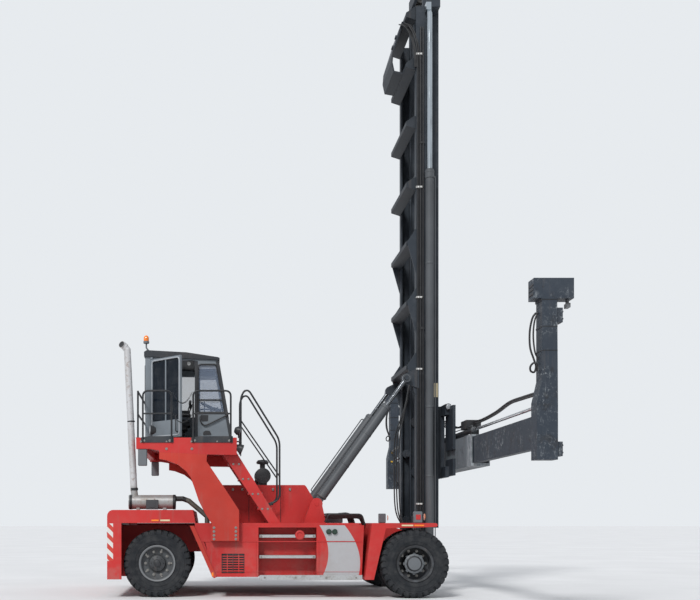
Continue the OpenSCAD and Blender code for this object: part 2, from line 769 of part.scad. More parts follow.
// The section of an outer rail, open towards the middle
function outer_section() = [[outer_x0, outer_half], [outer_x1, outer_half],
    [outer_x1, outer_half - rail_flange],
    [outer_x1 - flange_t, outer_half - rail_flange], [outer_x1 - flange_t, outer_half - rail_web],
    [outer_x0 + flange_t, outer_half - rail_web], [outer_x0 + flange_t, outer_half - rail_flange],
    [outer_x0, outer_half - rail_flange]];

module mast_rails() {
    color("darkslategray") at_axle() both_sides() {
        translate([0, 0, outer_z0]) linear_extrude(outer_z1 - outer_z0) polygon(outer_section());
        difference() {
            union() {
                side_plate([[tilt_x, 860], [outer_x0, 780], [outer_x0, 1140], [tilt_x, 1040]],
                    outer_half - 70, outer_half);
                cross_pin(tilt_x, tilt_z, 2 * pivot_r, outer_half - 80, outer_half + 10);
            }
            cross_pin(tilt_x, tilt_z, pivot_r + fit, outer_half - 90, outer_half + 20);
        }
        side_plate(concat([[outer_x0 + 60, 3880], [outer_x0 + 60, 4280]], arc(tilt_eye, 90, 110, 250, 8)),
            outer_half, outer_half + 30);
        cross_pin(tilt_eye[0], tilt_eye[1], 40, outer_half + 30, tilt_y + 70);
        for (z = cross_z) if (z < cross_z[gusseted])
            side_plate([[outer_x0, z + 260], [outer_x0 - gusset_reach, z], [outer_x0, z - 600]],
                outer_half - 30, outer_half);
    }
}

module mast_cross_members() {
    color("darkslategray") at_axle() {
        for (z = cross_z) translate([0, outer_half - 30, 0]) side_plate([[cross_x0, z - cross_h / 4],
            [outer_x0, z - cross_h / 2], [outer_x0, z + cross_h / 2], [outer_x0 - 30, z + cross_h / 2],
            [cross_x0, z + 20]], 0, 2 * outer_half - 60);
        block([outer_x0 - 40, -outer_half + 30, outer_z0 + 40], [outer_x0, outer_half - 30, outer_z0 + 280]);
    }
}

// The bent guard over the hoses between the two topmost cross members
module hose_guard() {
    color("darkslategray") at_axle() translate([0, 500, 0])
        side_plate([[cross_x0, 10990], [cross_x0 - 25, 10985],
        [-155, 10385], [-170, 10200], [-130, 10010], [cross_x0, 9975], [cross_x0, 10005], [-105, 10040],
        [-140, 10200], [-125, 10375], [cross_x0, 10940]], 0, 1000);
}

module lift_barrels() {
    color("dimgray") at_axle() both_sides() translate([lift_x, -lift_y, 0]) {
        difference() {
            union() {
                translate([0, 0, 340]) cylinder(h = lift_collar_z - 340, d = lift_d);
                translate([0, 0, lift_collar_z - 90]) cylinder(h = 110, d = lift_d + 20);
                for (z = [420, 4780, lift_collar_z - 160]) block([-60, 0, z], [60, lift_y - outer_half, z + 120]);
            }
            translate([0, 0, 400]) cylinder(h = lift_collar_z - 500, d = lift_rod_d + 12);
            translate([0, 0, 400]) cylinder(h = lift_collar_z, r = lift_rod_d / 2 + fit);
        }
    }
}

module mast_pipes() {
    color("dimgray") at_axle() {
        for (x = [325, 370]) rod([x, -outer_half - 22, 1200], [x, -outer_half - 22, 10700], 30);
        for (z = [1500, 5000, 8500]) block([305, -outer_half - 40, z], [390, -outer_half, z + 40]);
    }
}

module inner_rails() {
    color("darkslategray") at_axle() both_sides() {
        translate([0, 0, inner_z0]) linear_extrude(inner_len)
            polygon([[inner_x0, inner_out], [inner_x1, inner_out],
            [inner_x1, inner_in], [inner_x1 - flange_t, inner_in], [inner_x1 - flange_t, inner_out - 30],
            [inner_x0 + flange_t, inner_out - 30], [inner_x0 + flange_t, inner_in], [inner_x0, inner_in]]);
        block([outer_x1 + 12, -lift_y - 75, lift_head_z - 60], [inner_x1 - 40, -inner_out, lift_head_z + 80]);
        for (z = [inner_z0 + 150, inner_z0 + 1500]) {
            block([outer_x0 + outer_depth / 2 - 30, -inner_out, z - 60], [inner_x0, -inner_in, z + 60]);
            cross_pin(outer_x0 + outer_depth / 2, z, outer_depth / 2 - flange_t - seat_gap, inner_out - 1,
                outer_half - rail_web - seat_gap);
        }
    }
}

module inner_cross_members() {
    color("darkslategray") at_axle() for (z = [inner_z0, 4200, 8000, inner_z1 - 240])
        block([inner_x0, -inner_in, z], [inner_x0 + 60, inner_in, z + 240]);
}

module lift_rods() {
    color("silver") at_axle() both_sides() translate([lift_x, -lift_y, 0]) {
        translate([0, 0, 1450]) cylinder(h = lift_head_z - 1510, d = lift_rod_d);
        block([-75, -75, lift_head_z - 110], [outer_x1 + 12 - lift_x, 75, lift_head_z + 30]);
    }
}

// One strand's outline over its run, waisted between the links
function strand_outline(x, z0, links) = concat(
    [for (i = [0 : links - 1]) each [[x, z0 + i * chain_pitch + 45], [x, z0 + (i + 1) * chain_pitch - 15],
        [x + 8, z0 + (i + 1) * chain_pitch + 15]]],
    [for (i = [links - 1 : -1 : 0]) each [[x + strand_t - 8, z0 + (i + 1) * chain_pitch + 15],
        [x + strand_t, z0 + (i + 1) * chain_pitch - 15], [x + strand_t, z0 + i * chain_pitch + 45]]]);

// Leaf chains from the carriage over their sheaves and down to the outer mast's side
module lift_chains() {
    sheave_z = inner_z1 - 100;
    links = floor((sheave_z - 3700) / chain_pitch);
    z0 = sheave_z - 15 - links * chain_pitch;
    groove = sheave_r - strand_t - 15;
    color("dimgray") at_axle() both_sides() {
        for (x = [inner_x0 + 160 - groove - strand_t, inner_x0 + 160 + groove])
            side_plate(strand_outline(x, z0, links), 300, 380);
        translate([inner_x0 + 160, -340, sheave_z]) rotate([90, 0, 0]) rotate_extrude()
            polygon([[0, -50], [sheave_r, -50], [sheave_r, -42], [groove, -40], [groove, 40], [sheave_r, 42],
                [sheave_r, 50], [0, 50]]);
        difference() {
            cross_pin(inner_x0 + 160, sheave_z, groove + strand_t, 300, 380);
            block([inner_x0 - 50, -390, sheave_z - 200], [inner_x1 + 50, -290, sheave_z]);
        }
    }
}

module carriage() {
    color("darkslategray") at_axle() {
        for (z = [carriage_z0, carriage_z1 - 200])
            block([inner_x1 + 60, -carriage_w / 2, z], [carriage_x1, carriage_w / 2, z + 200]);
        both_sides() {
            block([inner_x1 - 180, -inner_in + 10, carriage_z0], [inner_x1 + 60, -inner_in + 70, carriage_z1]);
            block([inner_x1 + 60, -620, carriage_z0 + 200], [carriage_x1, -450, carriage_z1 - 200]);
            for (z = [carriage_z0 + 180, carriage_z1 - 180]) {
                cross_pin(inner_x0 + inner_depth / 2, z, 35, inner_in - 70, inner_in + 10);
                cross_pin(inner_x0 + inner_depth / 2, z, inner_depth / 2 - flange_t - seat_gap, inner_in + 8,
                    inner_out - 30 - seat_gap);
            }
        }
    }
}

module spreader_tube() {
    color("gray") at_axle() {
        difference() {
            block([tube_x0, -tube_half, tube_z0], [tube_x0 + tube_depth, tube_half, tube_z1]);
            block([tube_x0 + tube_wall, -tube_half - 10, tube_z0 + 30],
                [tube_x0 + tube_depth - tube_wall, tube_half + 10, tube_z1 - 25]);
        }
        both_sides() {
            block([tube_x0 + tube_wall, -tube_half, tube_z0 + 30],
                [tube_x0 + tube_depth - tube_wall, -tube_half + 250, beam_z0 - seat_gap]);
            block([tube_x0 + tube_wall, -tube_half, beam_z0 + beam_h + seat_gap],
                [tube_x0 + tube_depth - tube_wall, -tube_half + 250, tube_z1 - 25]);
            block([carriage_x1 + seat_gap, -1300, carriage_z0 + 20], [tube_x0, -700, carriage_z0 + 330]);
            block([carriage_x1 + seat_gap, -1300, 2700], [tube_x0, -700, carriage_z1 - 50]);
        }
    }
}

// Distance of a spread cylinder's axis ahead of the drive axle, k as for its arm
function cylinder_x(k) = tube_x0 + 60 + k * 150;

module spread_cylinders() {
    color("dimgray") at_axle() for (k = [0, 1]) mirror([0, k, 0]) {
        difference() {
            rod([cylinder_x(k), -tube_half + 50, cylinder_z], [cylinder_x(k), 1250, cylinder_z], cylinder_d);
            rod([cylinder_x(k), -tube_half, cylinder_z],
                [cylinder_x(k), 1150, cylinder_z], cylinder_rod_d + 2 * fit);
        }
        for (y = [-2350, -600, 1100]) difference() {
            block([cylinder_x(k) - 30, y, tube_z1], [cylinder_x(k) + 30, y + 60, cylinder_z]);
            rod([cylinder_x(k), y - 5, cylinder_z], [cylinder_x(k), y + 65, cylinder_z], cylinder_d - 10);
        }
    }
    color("dimgray") at_axle() {
        block([tube_x0 + 160, -1960, tube_z1], [tube_x0 + 260, -1680, cylinder_z + 60]);
        block([tube_x0 + 20, -2020, cylinder_z + 55], [tube_x0 + 280, -1620, cylinder_z + 210]);
    }
}

// An arm with its sliding beam; k is 0 for the beam at the rear of the tube and 1 for the front one
module arm(side, k) {
    x = tube_x0 + tube_wall + beam_gap + k * (beam_t + beam_gap);
    mirror([0, side > 0 ? 0 : 1, 0]) {
        block([x, -arm_out + arm_w, beam_z0], [x + beam_t, -arm_out + beam_len, beam_z0 + beam_h]);
        rod([cylinder_x(k), -arm_out + arm_w - 1, cylinder_z],
            [cylinder_x(k), -2000, cylinder_z], cylinder_rod_d);
        difference() {
            union() {
                side_plate([[850, 2210], [1140, 2210], [1140, 3000], [1130, arm_top - lock_box_h],
                    [920, arm_top - lock_box_h], [920, 3300], [850, 3000]], arm_out - arm_w, arm_out);
                block([810, -arm_out, arm_top - lock_box_h], [front_x, -arm_out + arm_w, arm_top]);
                for (z = [2260, 4100]) block([1130, -arm_out + 40, z], [1220, -arm_out + arm_w - 40, z + 200]);
            }
            translate([lock_x, -arm_out + arm_w / 2, arm_top - lock_box_h - 1])
                cylinder(h = lock_box_h + 2, r = 25 + fit);
        }
    }
}

module arm_right() {
    color("darkslategray") at_axle() arm(1, 0);
}

module arm_left() {
    color("darkslategray") at_axle() arm(-1, 1);
}

module locks(side) {
    color("silver") at_axle() mirror([0, side > 0 ? 0 : 1, 0]) translate([lock_x, -arm_out + arm_w / 2, 0]) {
        translate([0, 0, arm_top - lock_box_h - 90]) cylinder(h = lock_box_h + 70, r = 25);
        block([-25, -60, arm_top - lock_box_h - 110], [25, 60, arm_top - lock_box_h - 50]);
    }
}

chassis_frame();
engine_block();
side_cabinets();
access_steps();
counterweight();
rear_deck();
front_fenders();
engine_hood();
pedestal_arches();
cab_platform();
cab_stair();
platform_rails();
rear_rail();
stair_rails();
cab_shell();
cab_roof();
cab_glass();
operator_seat();
cab_console();
exhaust();
air_cleaner();
drive_axle();
steer_axle();
body_lamps();
cab_door();
door_glass();
drive_tyres(1);  // drive_tyres_right
drive_rims(1);  // drive_rims_right
drive_tyres(-1);  // drive_tyres_left
drive_rims(-1);  // drive_rims_left
knuckle(1);  // knuckle_right
knuckle(-1);  // knuckle_left
steer_tyre(1);  // steer_tyre_right
steer_rim(1);  // steer_rim_right
steer_tyre(-1);  // steer_tyre_left
steer_rim(-1);  // steer_rim_left
tilt_barrels();
tilt_rods();
mast_rails();
mast_cross_members();
hose_guard();
lift_barrels();
mast_pipes();
inner_rails();
inner_cross_members();
lift_rods();
lift_chains();
carriage();
spreader_tube();
spread_cylinders();
arm_right();
arm_left();
locks(1);  // locks_right
locks(-1);  // locks_left
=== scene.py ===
"""Dresses an empty container handler: a lift truck with a two stage mast and a side lift spreader.

Lengths are metres in the part's frame: +X to the front, +Y to the left, +Z up. The ground is at Z 0. Points
that go through ahead() have their X measured from the drive axle.
"""

from math import pi, radians

import bmesh
import bpy
import numpy as np
from mathutils import Matrix


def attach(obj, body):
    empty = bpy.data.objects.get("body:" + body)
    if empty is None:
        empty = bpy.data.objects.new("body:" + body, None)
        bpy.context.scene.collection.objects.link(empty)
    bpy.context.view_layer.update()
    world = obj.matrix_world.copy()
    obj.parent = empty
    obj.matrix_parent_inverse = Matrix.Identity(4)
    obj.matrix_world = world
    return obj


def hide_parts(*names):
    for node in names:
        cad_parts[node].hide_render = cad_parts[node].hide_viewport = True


bl_info = {
    "name": "Container handler dresser",
    "version": (1, 0, 0),
    "blender": (4, 5, 0),
    "location": "3D View > Sidebar > Container handler",
    "description": "Finishes, trim, hoses and stage for a mast type container handler",
    "category": "Object",
}

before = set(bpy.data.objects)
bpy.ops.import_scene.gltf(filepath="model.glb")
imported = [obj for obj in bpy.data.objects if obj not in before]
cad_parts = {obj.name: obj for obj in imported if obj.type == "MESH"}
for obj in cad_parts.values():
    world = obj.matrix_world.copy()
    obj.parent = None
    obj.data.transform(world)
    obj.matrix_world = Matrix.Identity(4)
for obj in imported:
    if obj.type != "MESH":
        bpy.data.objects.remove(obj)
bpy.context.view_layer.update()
AXLE = 2.12
WHEEL_Z = 0.613
SIDE_Y = 1.85
PLATFORM_Z = 2.86
STEER_X = AXLE - 4.60
TUBE_X = AXLE + 0.88
PIPE_X = -2.17
DOOR_ANGLE = radians(-45)
RAIL_RADIUS = 0.017
SMOOTH_ANGLE = radians(34)
ARM_SEAMS = (3.706, 4.035, 4.403)
SIDES = (("right", -1), ("left", 1))
FRONT, REAR, LEFT, RIGHT, UP = (1, 0, 0), (-1, 0, 0), (0, 1, 0), (0, -1, 0), (0, 0, 1)


class Value:
    """A number in a material, on which Python's arithmetic adds Math nodes."""

    def __init__(self, paint, socket):
        self.paint = paint
        self.socket = socket

    def _math(self, operation, first, second):
        return self.paint.node("ShaderNodeMath", {"operation": operation}, {0: first, 1: second})

    def __add__(self, other):
        return self._math("ADD", self, other)

    def __sub__(self, other):
        return self._math("SUBTRACT", self, other)

    def __rsub__(self, other):
        return self._math("SUBTRACT", other, self)

    def __mul__(self, other):
        return self._math("MULTIPLY", self, other)

    __radd__ = __add__
    __rmul__ = __mul__

    def fraction(self):
        return self._math("FRACT", self, 0.0)

    def size(self):
        return self._math("ABSOLUTE", self, 0.0)

    def least(self, other):
        return self._math("MINIMUM", self, other)

    def most(self, other):
        return self._math("MAXIMUM", self, other)

    def rise(self, low, high):
        """0 below low, 1 above high and a smooth step between them; high may be the lower one."""
        settings = {"interpolation_type": "SMOOTHSTEP"}
        return self.paint.node("ShaderNodeMapRange", settings, {0: self, 1: low, 2: high, 3: 0.0, 4: 1.0})


class Paint:
    """One material, whose nodes are added by a few calls."""

    def __init__(self, name, roughness=0.5, metallic=0.0, **extra):
        self.material = bpy.data.materials.new(name)
        self.material.use_nodes = True
        self.tree = self.material.node_tree
        self.shader = self.tree.nodes["Principled BSDF"]
        self.shader.inputs["Roughness"].default_value = roughness
        self.shader.inputs["Metallic"].default_value = metallic
        for key, value in extra.items():
            self.shader.inputs[key.replace("_", " ")].default_value = value
        place = self.node("ShaderNodeTexCoord", {}, {}, "Object")
        self.place = place
        self.x, self.y, self.z = (self.node("ShaderNodeSeparateXYZ", {}, {0: place}, i) for i in range(3))

    def node(self, kind, settings, inputs, output=0):
        """Adds a node of a kind with its settings, feeds its inputs and gives one of its outputs."""
        made = self.tree.nodes.new(kind)
        for key, value in settings.items():
            setattr(made, key, value)
        for key, value in inputs.items():
            self.feed(made.inputs[key], value)
        return Value(self, made.outputs[output])

    def feed(self, socket, value):
        """Links a Value to a socket, or sets the socket to a plain number or colour."""
        if isinstance(value, Value):
            self.tree.links.new(value.socket, socket)
        else:
            socket.default_value = value

    def noise(self, scale, detail=4.0, roughness=0.6, stretch=(1.0, 1.0, 1.0)):
        where = self.node("ShaderNodeVectorMath", {"operation": "MULTIPLY"}, {0: self.place, 1: stretch})
        return self.node("ShaderNodeTexNoise", {}, {"Vector": where, "Scale": scale, "Detail": detail,
                                                    "Roughness": roughness})

    def mix(self, share, first, second):
        """The first colour where share is 0 and the second where it is 1."""
        return self.node("ShaderNodeMix", {"data_type": "RGBA"}, {0: share, 6: first, 7: second}, 2)

    def edges(self, radius):
        """How strongly the surface turns within a radius, and the rounded normal."""
        rounded = self.node("ShaderNodeBevel", {"samples": 4}, {"Radius": radius})
        flat = self.node("ShaderNodeNewGeometry", {}, {}, "Normal")
        dot = self.node("ShaderNodeVectorMath", {"operation": "DOT_PRODUCT"}, {0: rounded, 1: flat}, "Value")
        return 1.0 - dot, rounded

    def finish(self, colour, roughness=None, height=None, depth=0.002, normal=None):
        """Feeds what varies to the shader; height becomes a bump of the given depth in metres."""
        if height is not None:
            inputs = {"Height": height, "Distance": depth, "Strength": 1.0}
            if normal is not None:
                inputs["Normal"] = normal
            normal = self.node("ShaderNodeBump", {}, inputs)
        for key, value in (("Base Color", colour), ("Roughness", roughness), ("Normal", normal)):
            if value is not None:
                self.feed(self.shader.inputs[key], value)
        return self.material


def rgb(red, green, blue):
    return (red, green, blue, 1.0)


def shaded(colour, factor, lift=0.0):
    """A colour whose parts are multiplied by a factor and lifted."""
    return rgb(*(part * factor + lift for part in colour[:3]))


def painted(name, colour, wear, dust, under, roughness=0.45, pattern=None, dirt=rgb(0.26, 0.22, 0.19)):
    """Paint on sheet or plate: patches of fade, fine dust, thicker low down, runs down the sides, chips
    at the edges that show what is under it, and a faint orange peel. A pattern may recolour the paint."""
    paint = Paint(name, Specular_IOR_Level=0.30)
    fade = paint.noise(0.9, 3.0).rise(0.35, 0.7)
    shade = paint.mix(fade, colour, shaded(colour, 0.80))
    if pattern:
        shade = pattern(paint, shade)
    runs = paint.noise(5.0, 5.0, 0.65, (1.6, 1.6, 0.16)).rise(0.55, 0.75)
    shade = paint.mix(runs * (0.30 * wear + 0.1), shade, rgb(0.16, 0.13, 0.11))
    low = paint.z.rise(1.3, 0.3)
    grime = (paint.noise(3.0, 6.0, 0.7).rise(0.40, 0.72) * (0.35 + low)).least(1.0)
    shade = paint.mix(grime * dust, shade, dirt)
    turn, rounded = paint.edges(0.006)
    speckle = paint.noise(26.0, 5.0, 0.7)
    chips = (turn.rise(0.02, 0.25) * speckle.rise(0.48, 0.60)).least(1.0)
    spots = speckle.rise(0.73, 0.78) * paint.noise(2.2, 2.0).rise(0.55, 0.70)
    bare = chips.most(spots) * wear
    shade = paint.mix(bare, shade, under)
    rough = grime * 0.25 + runs * 0.1 + bare * 0.15 + roughness
    return paint.finish(shade, rough, paint.noise(60.0, 2.0), 0.0006, rounded)


def swoosh(paint, shade):
    """The pale band on the body's side: between two bowed lines, each a parabola of height."""
    rear = 0.592 - 0.645 * (paint.z - 0.80) * (paint.z - 0.80)
    front = 1.16 - 0.60 * (paint.z - 0.62) * (paint.z - 0.62)
    band = (paint.x - rear).rise(-0.004, 0.004) * (front - paint.x).rise(-0.004, 0.004)
    outside = paint.y.size().rise(1.83, 1.845)
    worn = paint.noise(9.0, 5.0, 0.7).rise(0.62, 0.70)
    return paint.mix(band * outside * (1.0 - worn * 0.5), shade, rgb(0.36, 0.36, 0.37))


def scuffed(paint, shade):
    """Pale flecks and scrapes where containers have rubbed, in patches, and dark stains."""
    patch = paint.noise(1.8, 4.0, 0.65).rise(0.42, 0.60)
    flecks = paint.noise(22.0, 6.0, 0.8, (1.0, 0.5, 0.8)).rise(0.53, 0.66)
    scrapes = paint.noise(8.0, 6.0, 0.8, (2.0, 1.0, 0.6)).rise(0.56, 0.66)
    shade = paint.mix(patch * flecks.most(scrapes) * 0.75, shade, rgb(0.27, 0.29, 0.30))
    for seam in ARM_SEAMS:
        shade = paint.mix((paint.z - seam).size().rise(0.012, 0.008) * 0.8, shade, rgb(0.012, 0.013, 0.015))
    return paint.mix(paint.noise(4.0, 6.0, 0.7).rise(0.54, 0.66) * 0.75, shade, rgb(0.018, 0.019, 0.022))


def mounted(paint, shade):
    """The scraped beam: its ends bare and pale, the mounting plates behind it dark as the carriage."""
    behind = paint.x.rise(TUBE_X, TUBE_X - 0.002)
    ends = paint.y.size().rise(2.05, 2.25) * paint.noise(3.0, 5.0, 0.7).rise(0.25, 0.45)
    worn = paint.noise(14.0, 6.0, 0.75, (1.0, 1.0, 0.4)).rise(0.35, 0.65)
    shade = paint.mix(ends * worn * 0.8, scuffed(paint, shade), rgb(0.40, 0.43, 0.45))
    return paint.mix(behind, shade, rgb(0.020, 0.026, 0.034))


def rimmed(paint, shade):
    """The steered wheel's disc: dark by the hub, and bare and pale on the ring that the tyre's bead rubs."""
    across, up = paint.x - STEER_X, paint.z - WHEEL_Z
    far = across * across + up * up
    shade = paint.mix(far.rise(0.034, 0.026) * 0.6, shade, rgb(0.020, 0.021, 0.023))
    return paint.mix(far.rise(0.086, 0.094) * 0.9, shade, rgb(0.17, 0.175, 0.18))


def pale_tops_dust_and_highlight(paint, shade):
    """Dark paint made pale where a face looks up: dust, and painted highlight of the light from above."""
    facing = paint.node("ShaderNodeTexCoord", {}, {}, "Normal")
    up = paint.node("ShaderNodeSeparateXYZ", {}, {0: facing}, "Z").rise(0.20, 0.55)
    spread = paint.noise(6.0, 5.0, 0.7).rise(0.15, 0.60) * 0.5 + 0.45
    return paint.mix(up * spread, shade, rgb(0.33, 0.33, 0.37))


def hazard(paint, shade):
    """Red and white stripes at 45 degrees on the rear corners."""
    stripe = ((paint.x + paint.z - paint.y.size()) * 5.2).fraction().rise(0.49, 0.51)
    span = paint.z.rise(0.660, 0.665) * paint.z.rise(1.335, 1.33)
    corner = paint.y.size().rise(1.60, 1.605) * paint.x.rise(-3.262, -3.264)
    return paint.mix(span * corner, shade, paint.mix(stripe, rgb(0.62, 0.60, 0.57), rgb(0.50, 0.05, 0.035)))


def cast(name, colour, roughness=0.6, oil=0.4):
    """Rough casting with oily patches and dust in the hollows."""
    paint = Paint(name)
    oily = paint.noise(4.0, 5.0).rise(0.5, 0.7)
    shade = paint.mix(oily * oil, colour, rgb(0.02, 0.018, 0.015))
    dusty = paint.noise(9.0, 6.0, 0.7).rise(0.5, 0.8)
    shade = paint.mix(dusty * 0.35, shade, rgb(0.24, 0.21, 0.18))
    _, rounded = paint.edges(0.008)
    return paint.finish(shade, dusty * 0.2 + roughness - oily * 0.25, paint.noise(45.0, 4.0), 0.002, rounded)


def chrome(name, colour):
    """Hard chrome with a thin film of oil and fine rings."""
    paint = Paint(name, metallic=1.0)
    film = paint.noise(6.0, 4.0, 0.6, (1.0, 1.0, 0.3)).rise(0.45, 0.75)
    shade = paint.mix(film * 0.6, colour, shaded(colour, 0.35))
    return paint.finish(shade, film * 0.25 + 0.14, paint.noise(90.0, 2.0), 0.0002)


def rubber(name):
    """Worn black rubber, greyed by dust that lies thicker in the hollows and on the sidewall."""
    paint = Paint(name, Specular_IOR_Level=0.22)
    dust = paint.noise(7.0, 6.0, 0.7).rise(0.35, 0.75)
    shade = paint.mix(dust * 0.45, rgb(0.012, 0.014, 0.017), rgb(0.075, 0.075, 0.075))
    return paint.finish(shade, dust * 0.2 + 0.68, paint.noise(80.0, 5.0, 0.7), 0.0015)


def glass(name, colour, cover):
    """Tinted glass with a light coat of dust; cover is how much of what is behind it is hidden."""
    paint = Paint(name, roughness=0.04, Alpha=cover, Specular_IOR_Level=0.18)
    dust = paint.noise(5.0, 5.0, 0.65).rise(0.4, 0.8)
    return paint.finish(paint.mix(dust * 0.35, colour, shaded(colour, 0.7, 0.05)), dust * 0.22 + 0.05)


def sheet_steel(name):
    """The muffler's sheet: grey to tan, blued and rusted by heat in bands and spots."""
    paint = Paint(name, metallic=0.35)
    heat = paint.noise(2.6, 5.0, 0.7, (1.0, 1.0, 0.4)).rise(0.35, 0.7)
    rust = paint.noise(14.0, 6.0, 0.75).rise(0.52, 0.68)
    shade = paint.mix(heat, rgb(0.34, 0.34, 0.34), rgb(0.25, 0.23, 0.20))
    stack = paint.mix(heat * 0.4, rgb(0.60, 0.60, 0.61), rgb(0.40, 0.38, 0.36))
    shade = paint.mix(paint.z.rise(1.95, 2.05) * 0.8, shade, stack)
    shade = paint.mix(rust * 0.6, shade, rgb(0.16, 0.085, 0.045))
    shade = paint.mix(paint.x.rise(PIPE_X - 0.004, PIPE_X), shade, rgb(0.020, 0.020, 0.020))
    bend = paint.mix(heat, rgb(0.13, 0.13, 0.12), rgb(0.09, 0.085, 0.07))
    shade = paint.mix(paint.x.rise(PIPE_X + 0.20, PIPE_X + 0.22), shade, bend)
    return paint.finish(shade, rust * 0.35 + 0.38, paint.noise(40.0, 5.0), 0.001)


def tread_plate(name):
    """Galvanised step plate: spangles, a raised diamond pattern and trodden dirt."""
    paint = Paint(name, metallic=0.7)
    spangle = paint.noise(22.0, 2.0)
    dirt = paint.noise(6.0, 6.0, 0.7).rise(0.45, 0.72)
    shade = paint.mix(spangle, rgb(0.42, 0.43, 0.43), rgb(0.55, 0.56, 0.56))
    shade = paint.mix(dirt * 0.6, shade, rgb(0.20, 0.17, 0.14))
    one = ((paint.x + paint.y) * 22.0).fraction() - 0.5
    two = ((paint.x - paint.y) * 22.0).fraction() - 0.5
    bars = one.size().rise(0.12, 0.05).most(two.size().rise(0.12, 0.05))
    return paint.finish(shade, dirt * 0.3 + 0.42, bars, 0.002)


def plain(name, colour, roughness, metallic=0.0, grain=60.0, speckle=0.35, **extra):
    """Moulded or dipped finish: one colour with a light mottle and a fine grain."""
    paint = Paint(name, roughness, metallic, **extra)
    mottle = paint.noise(8.0, 5.0, 0.65).rise(0.35, 0.75)
    shade = paint.mix(mottle * speckle, colour, shaded(colour, 0.55, 0.03))
    return paint.finish(shade, mottle * 0.15 + roughness - 0.05, paint.noise(grain, 3.0), 0.0008)


def cloth(name):
    """Woven seat cloth: two sets of fine ribs that cross."""
    paint = Paint(name, roughness=0.9)
    warp = ((paint.x + paint.z) * 260.0).fraction() - 0.5
    weft = (paint.y * 260.0).fraction() - 0.5
    weave = warp.size() * weft.size()
    shade = paint.mix(paint.noise(12.0).rise(0.4, 0.7) * 0.4, rgb(0.030, 0.032, 0.036),
                      rgb(0.07, 0.07, 0.075))
    return paint.finish(shade, None, weave, 0.002)


def lamp_orange(name):
    """Ribbed orange lens."""
    paint = Paint(name, roughness=0.2, Coat_Weight=0.5)
    ribs = ((paint.z + paint.x) * 90.0).fraction() - 0.5
    shade = paint.mix(paint.noise(20.0).rise(0.4, 0.7) * 0.3, rgb(0.85, 0.20, 0.01), rgb(0.45, 0.10, 0.01))
    return paint.finish(shade, None, ribs.size(), 0.002)


FINISHES = {}


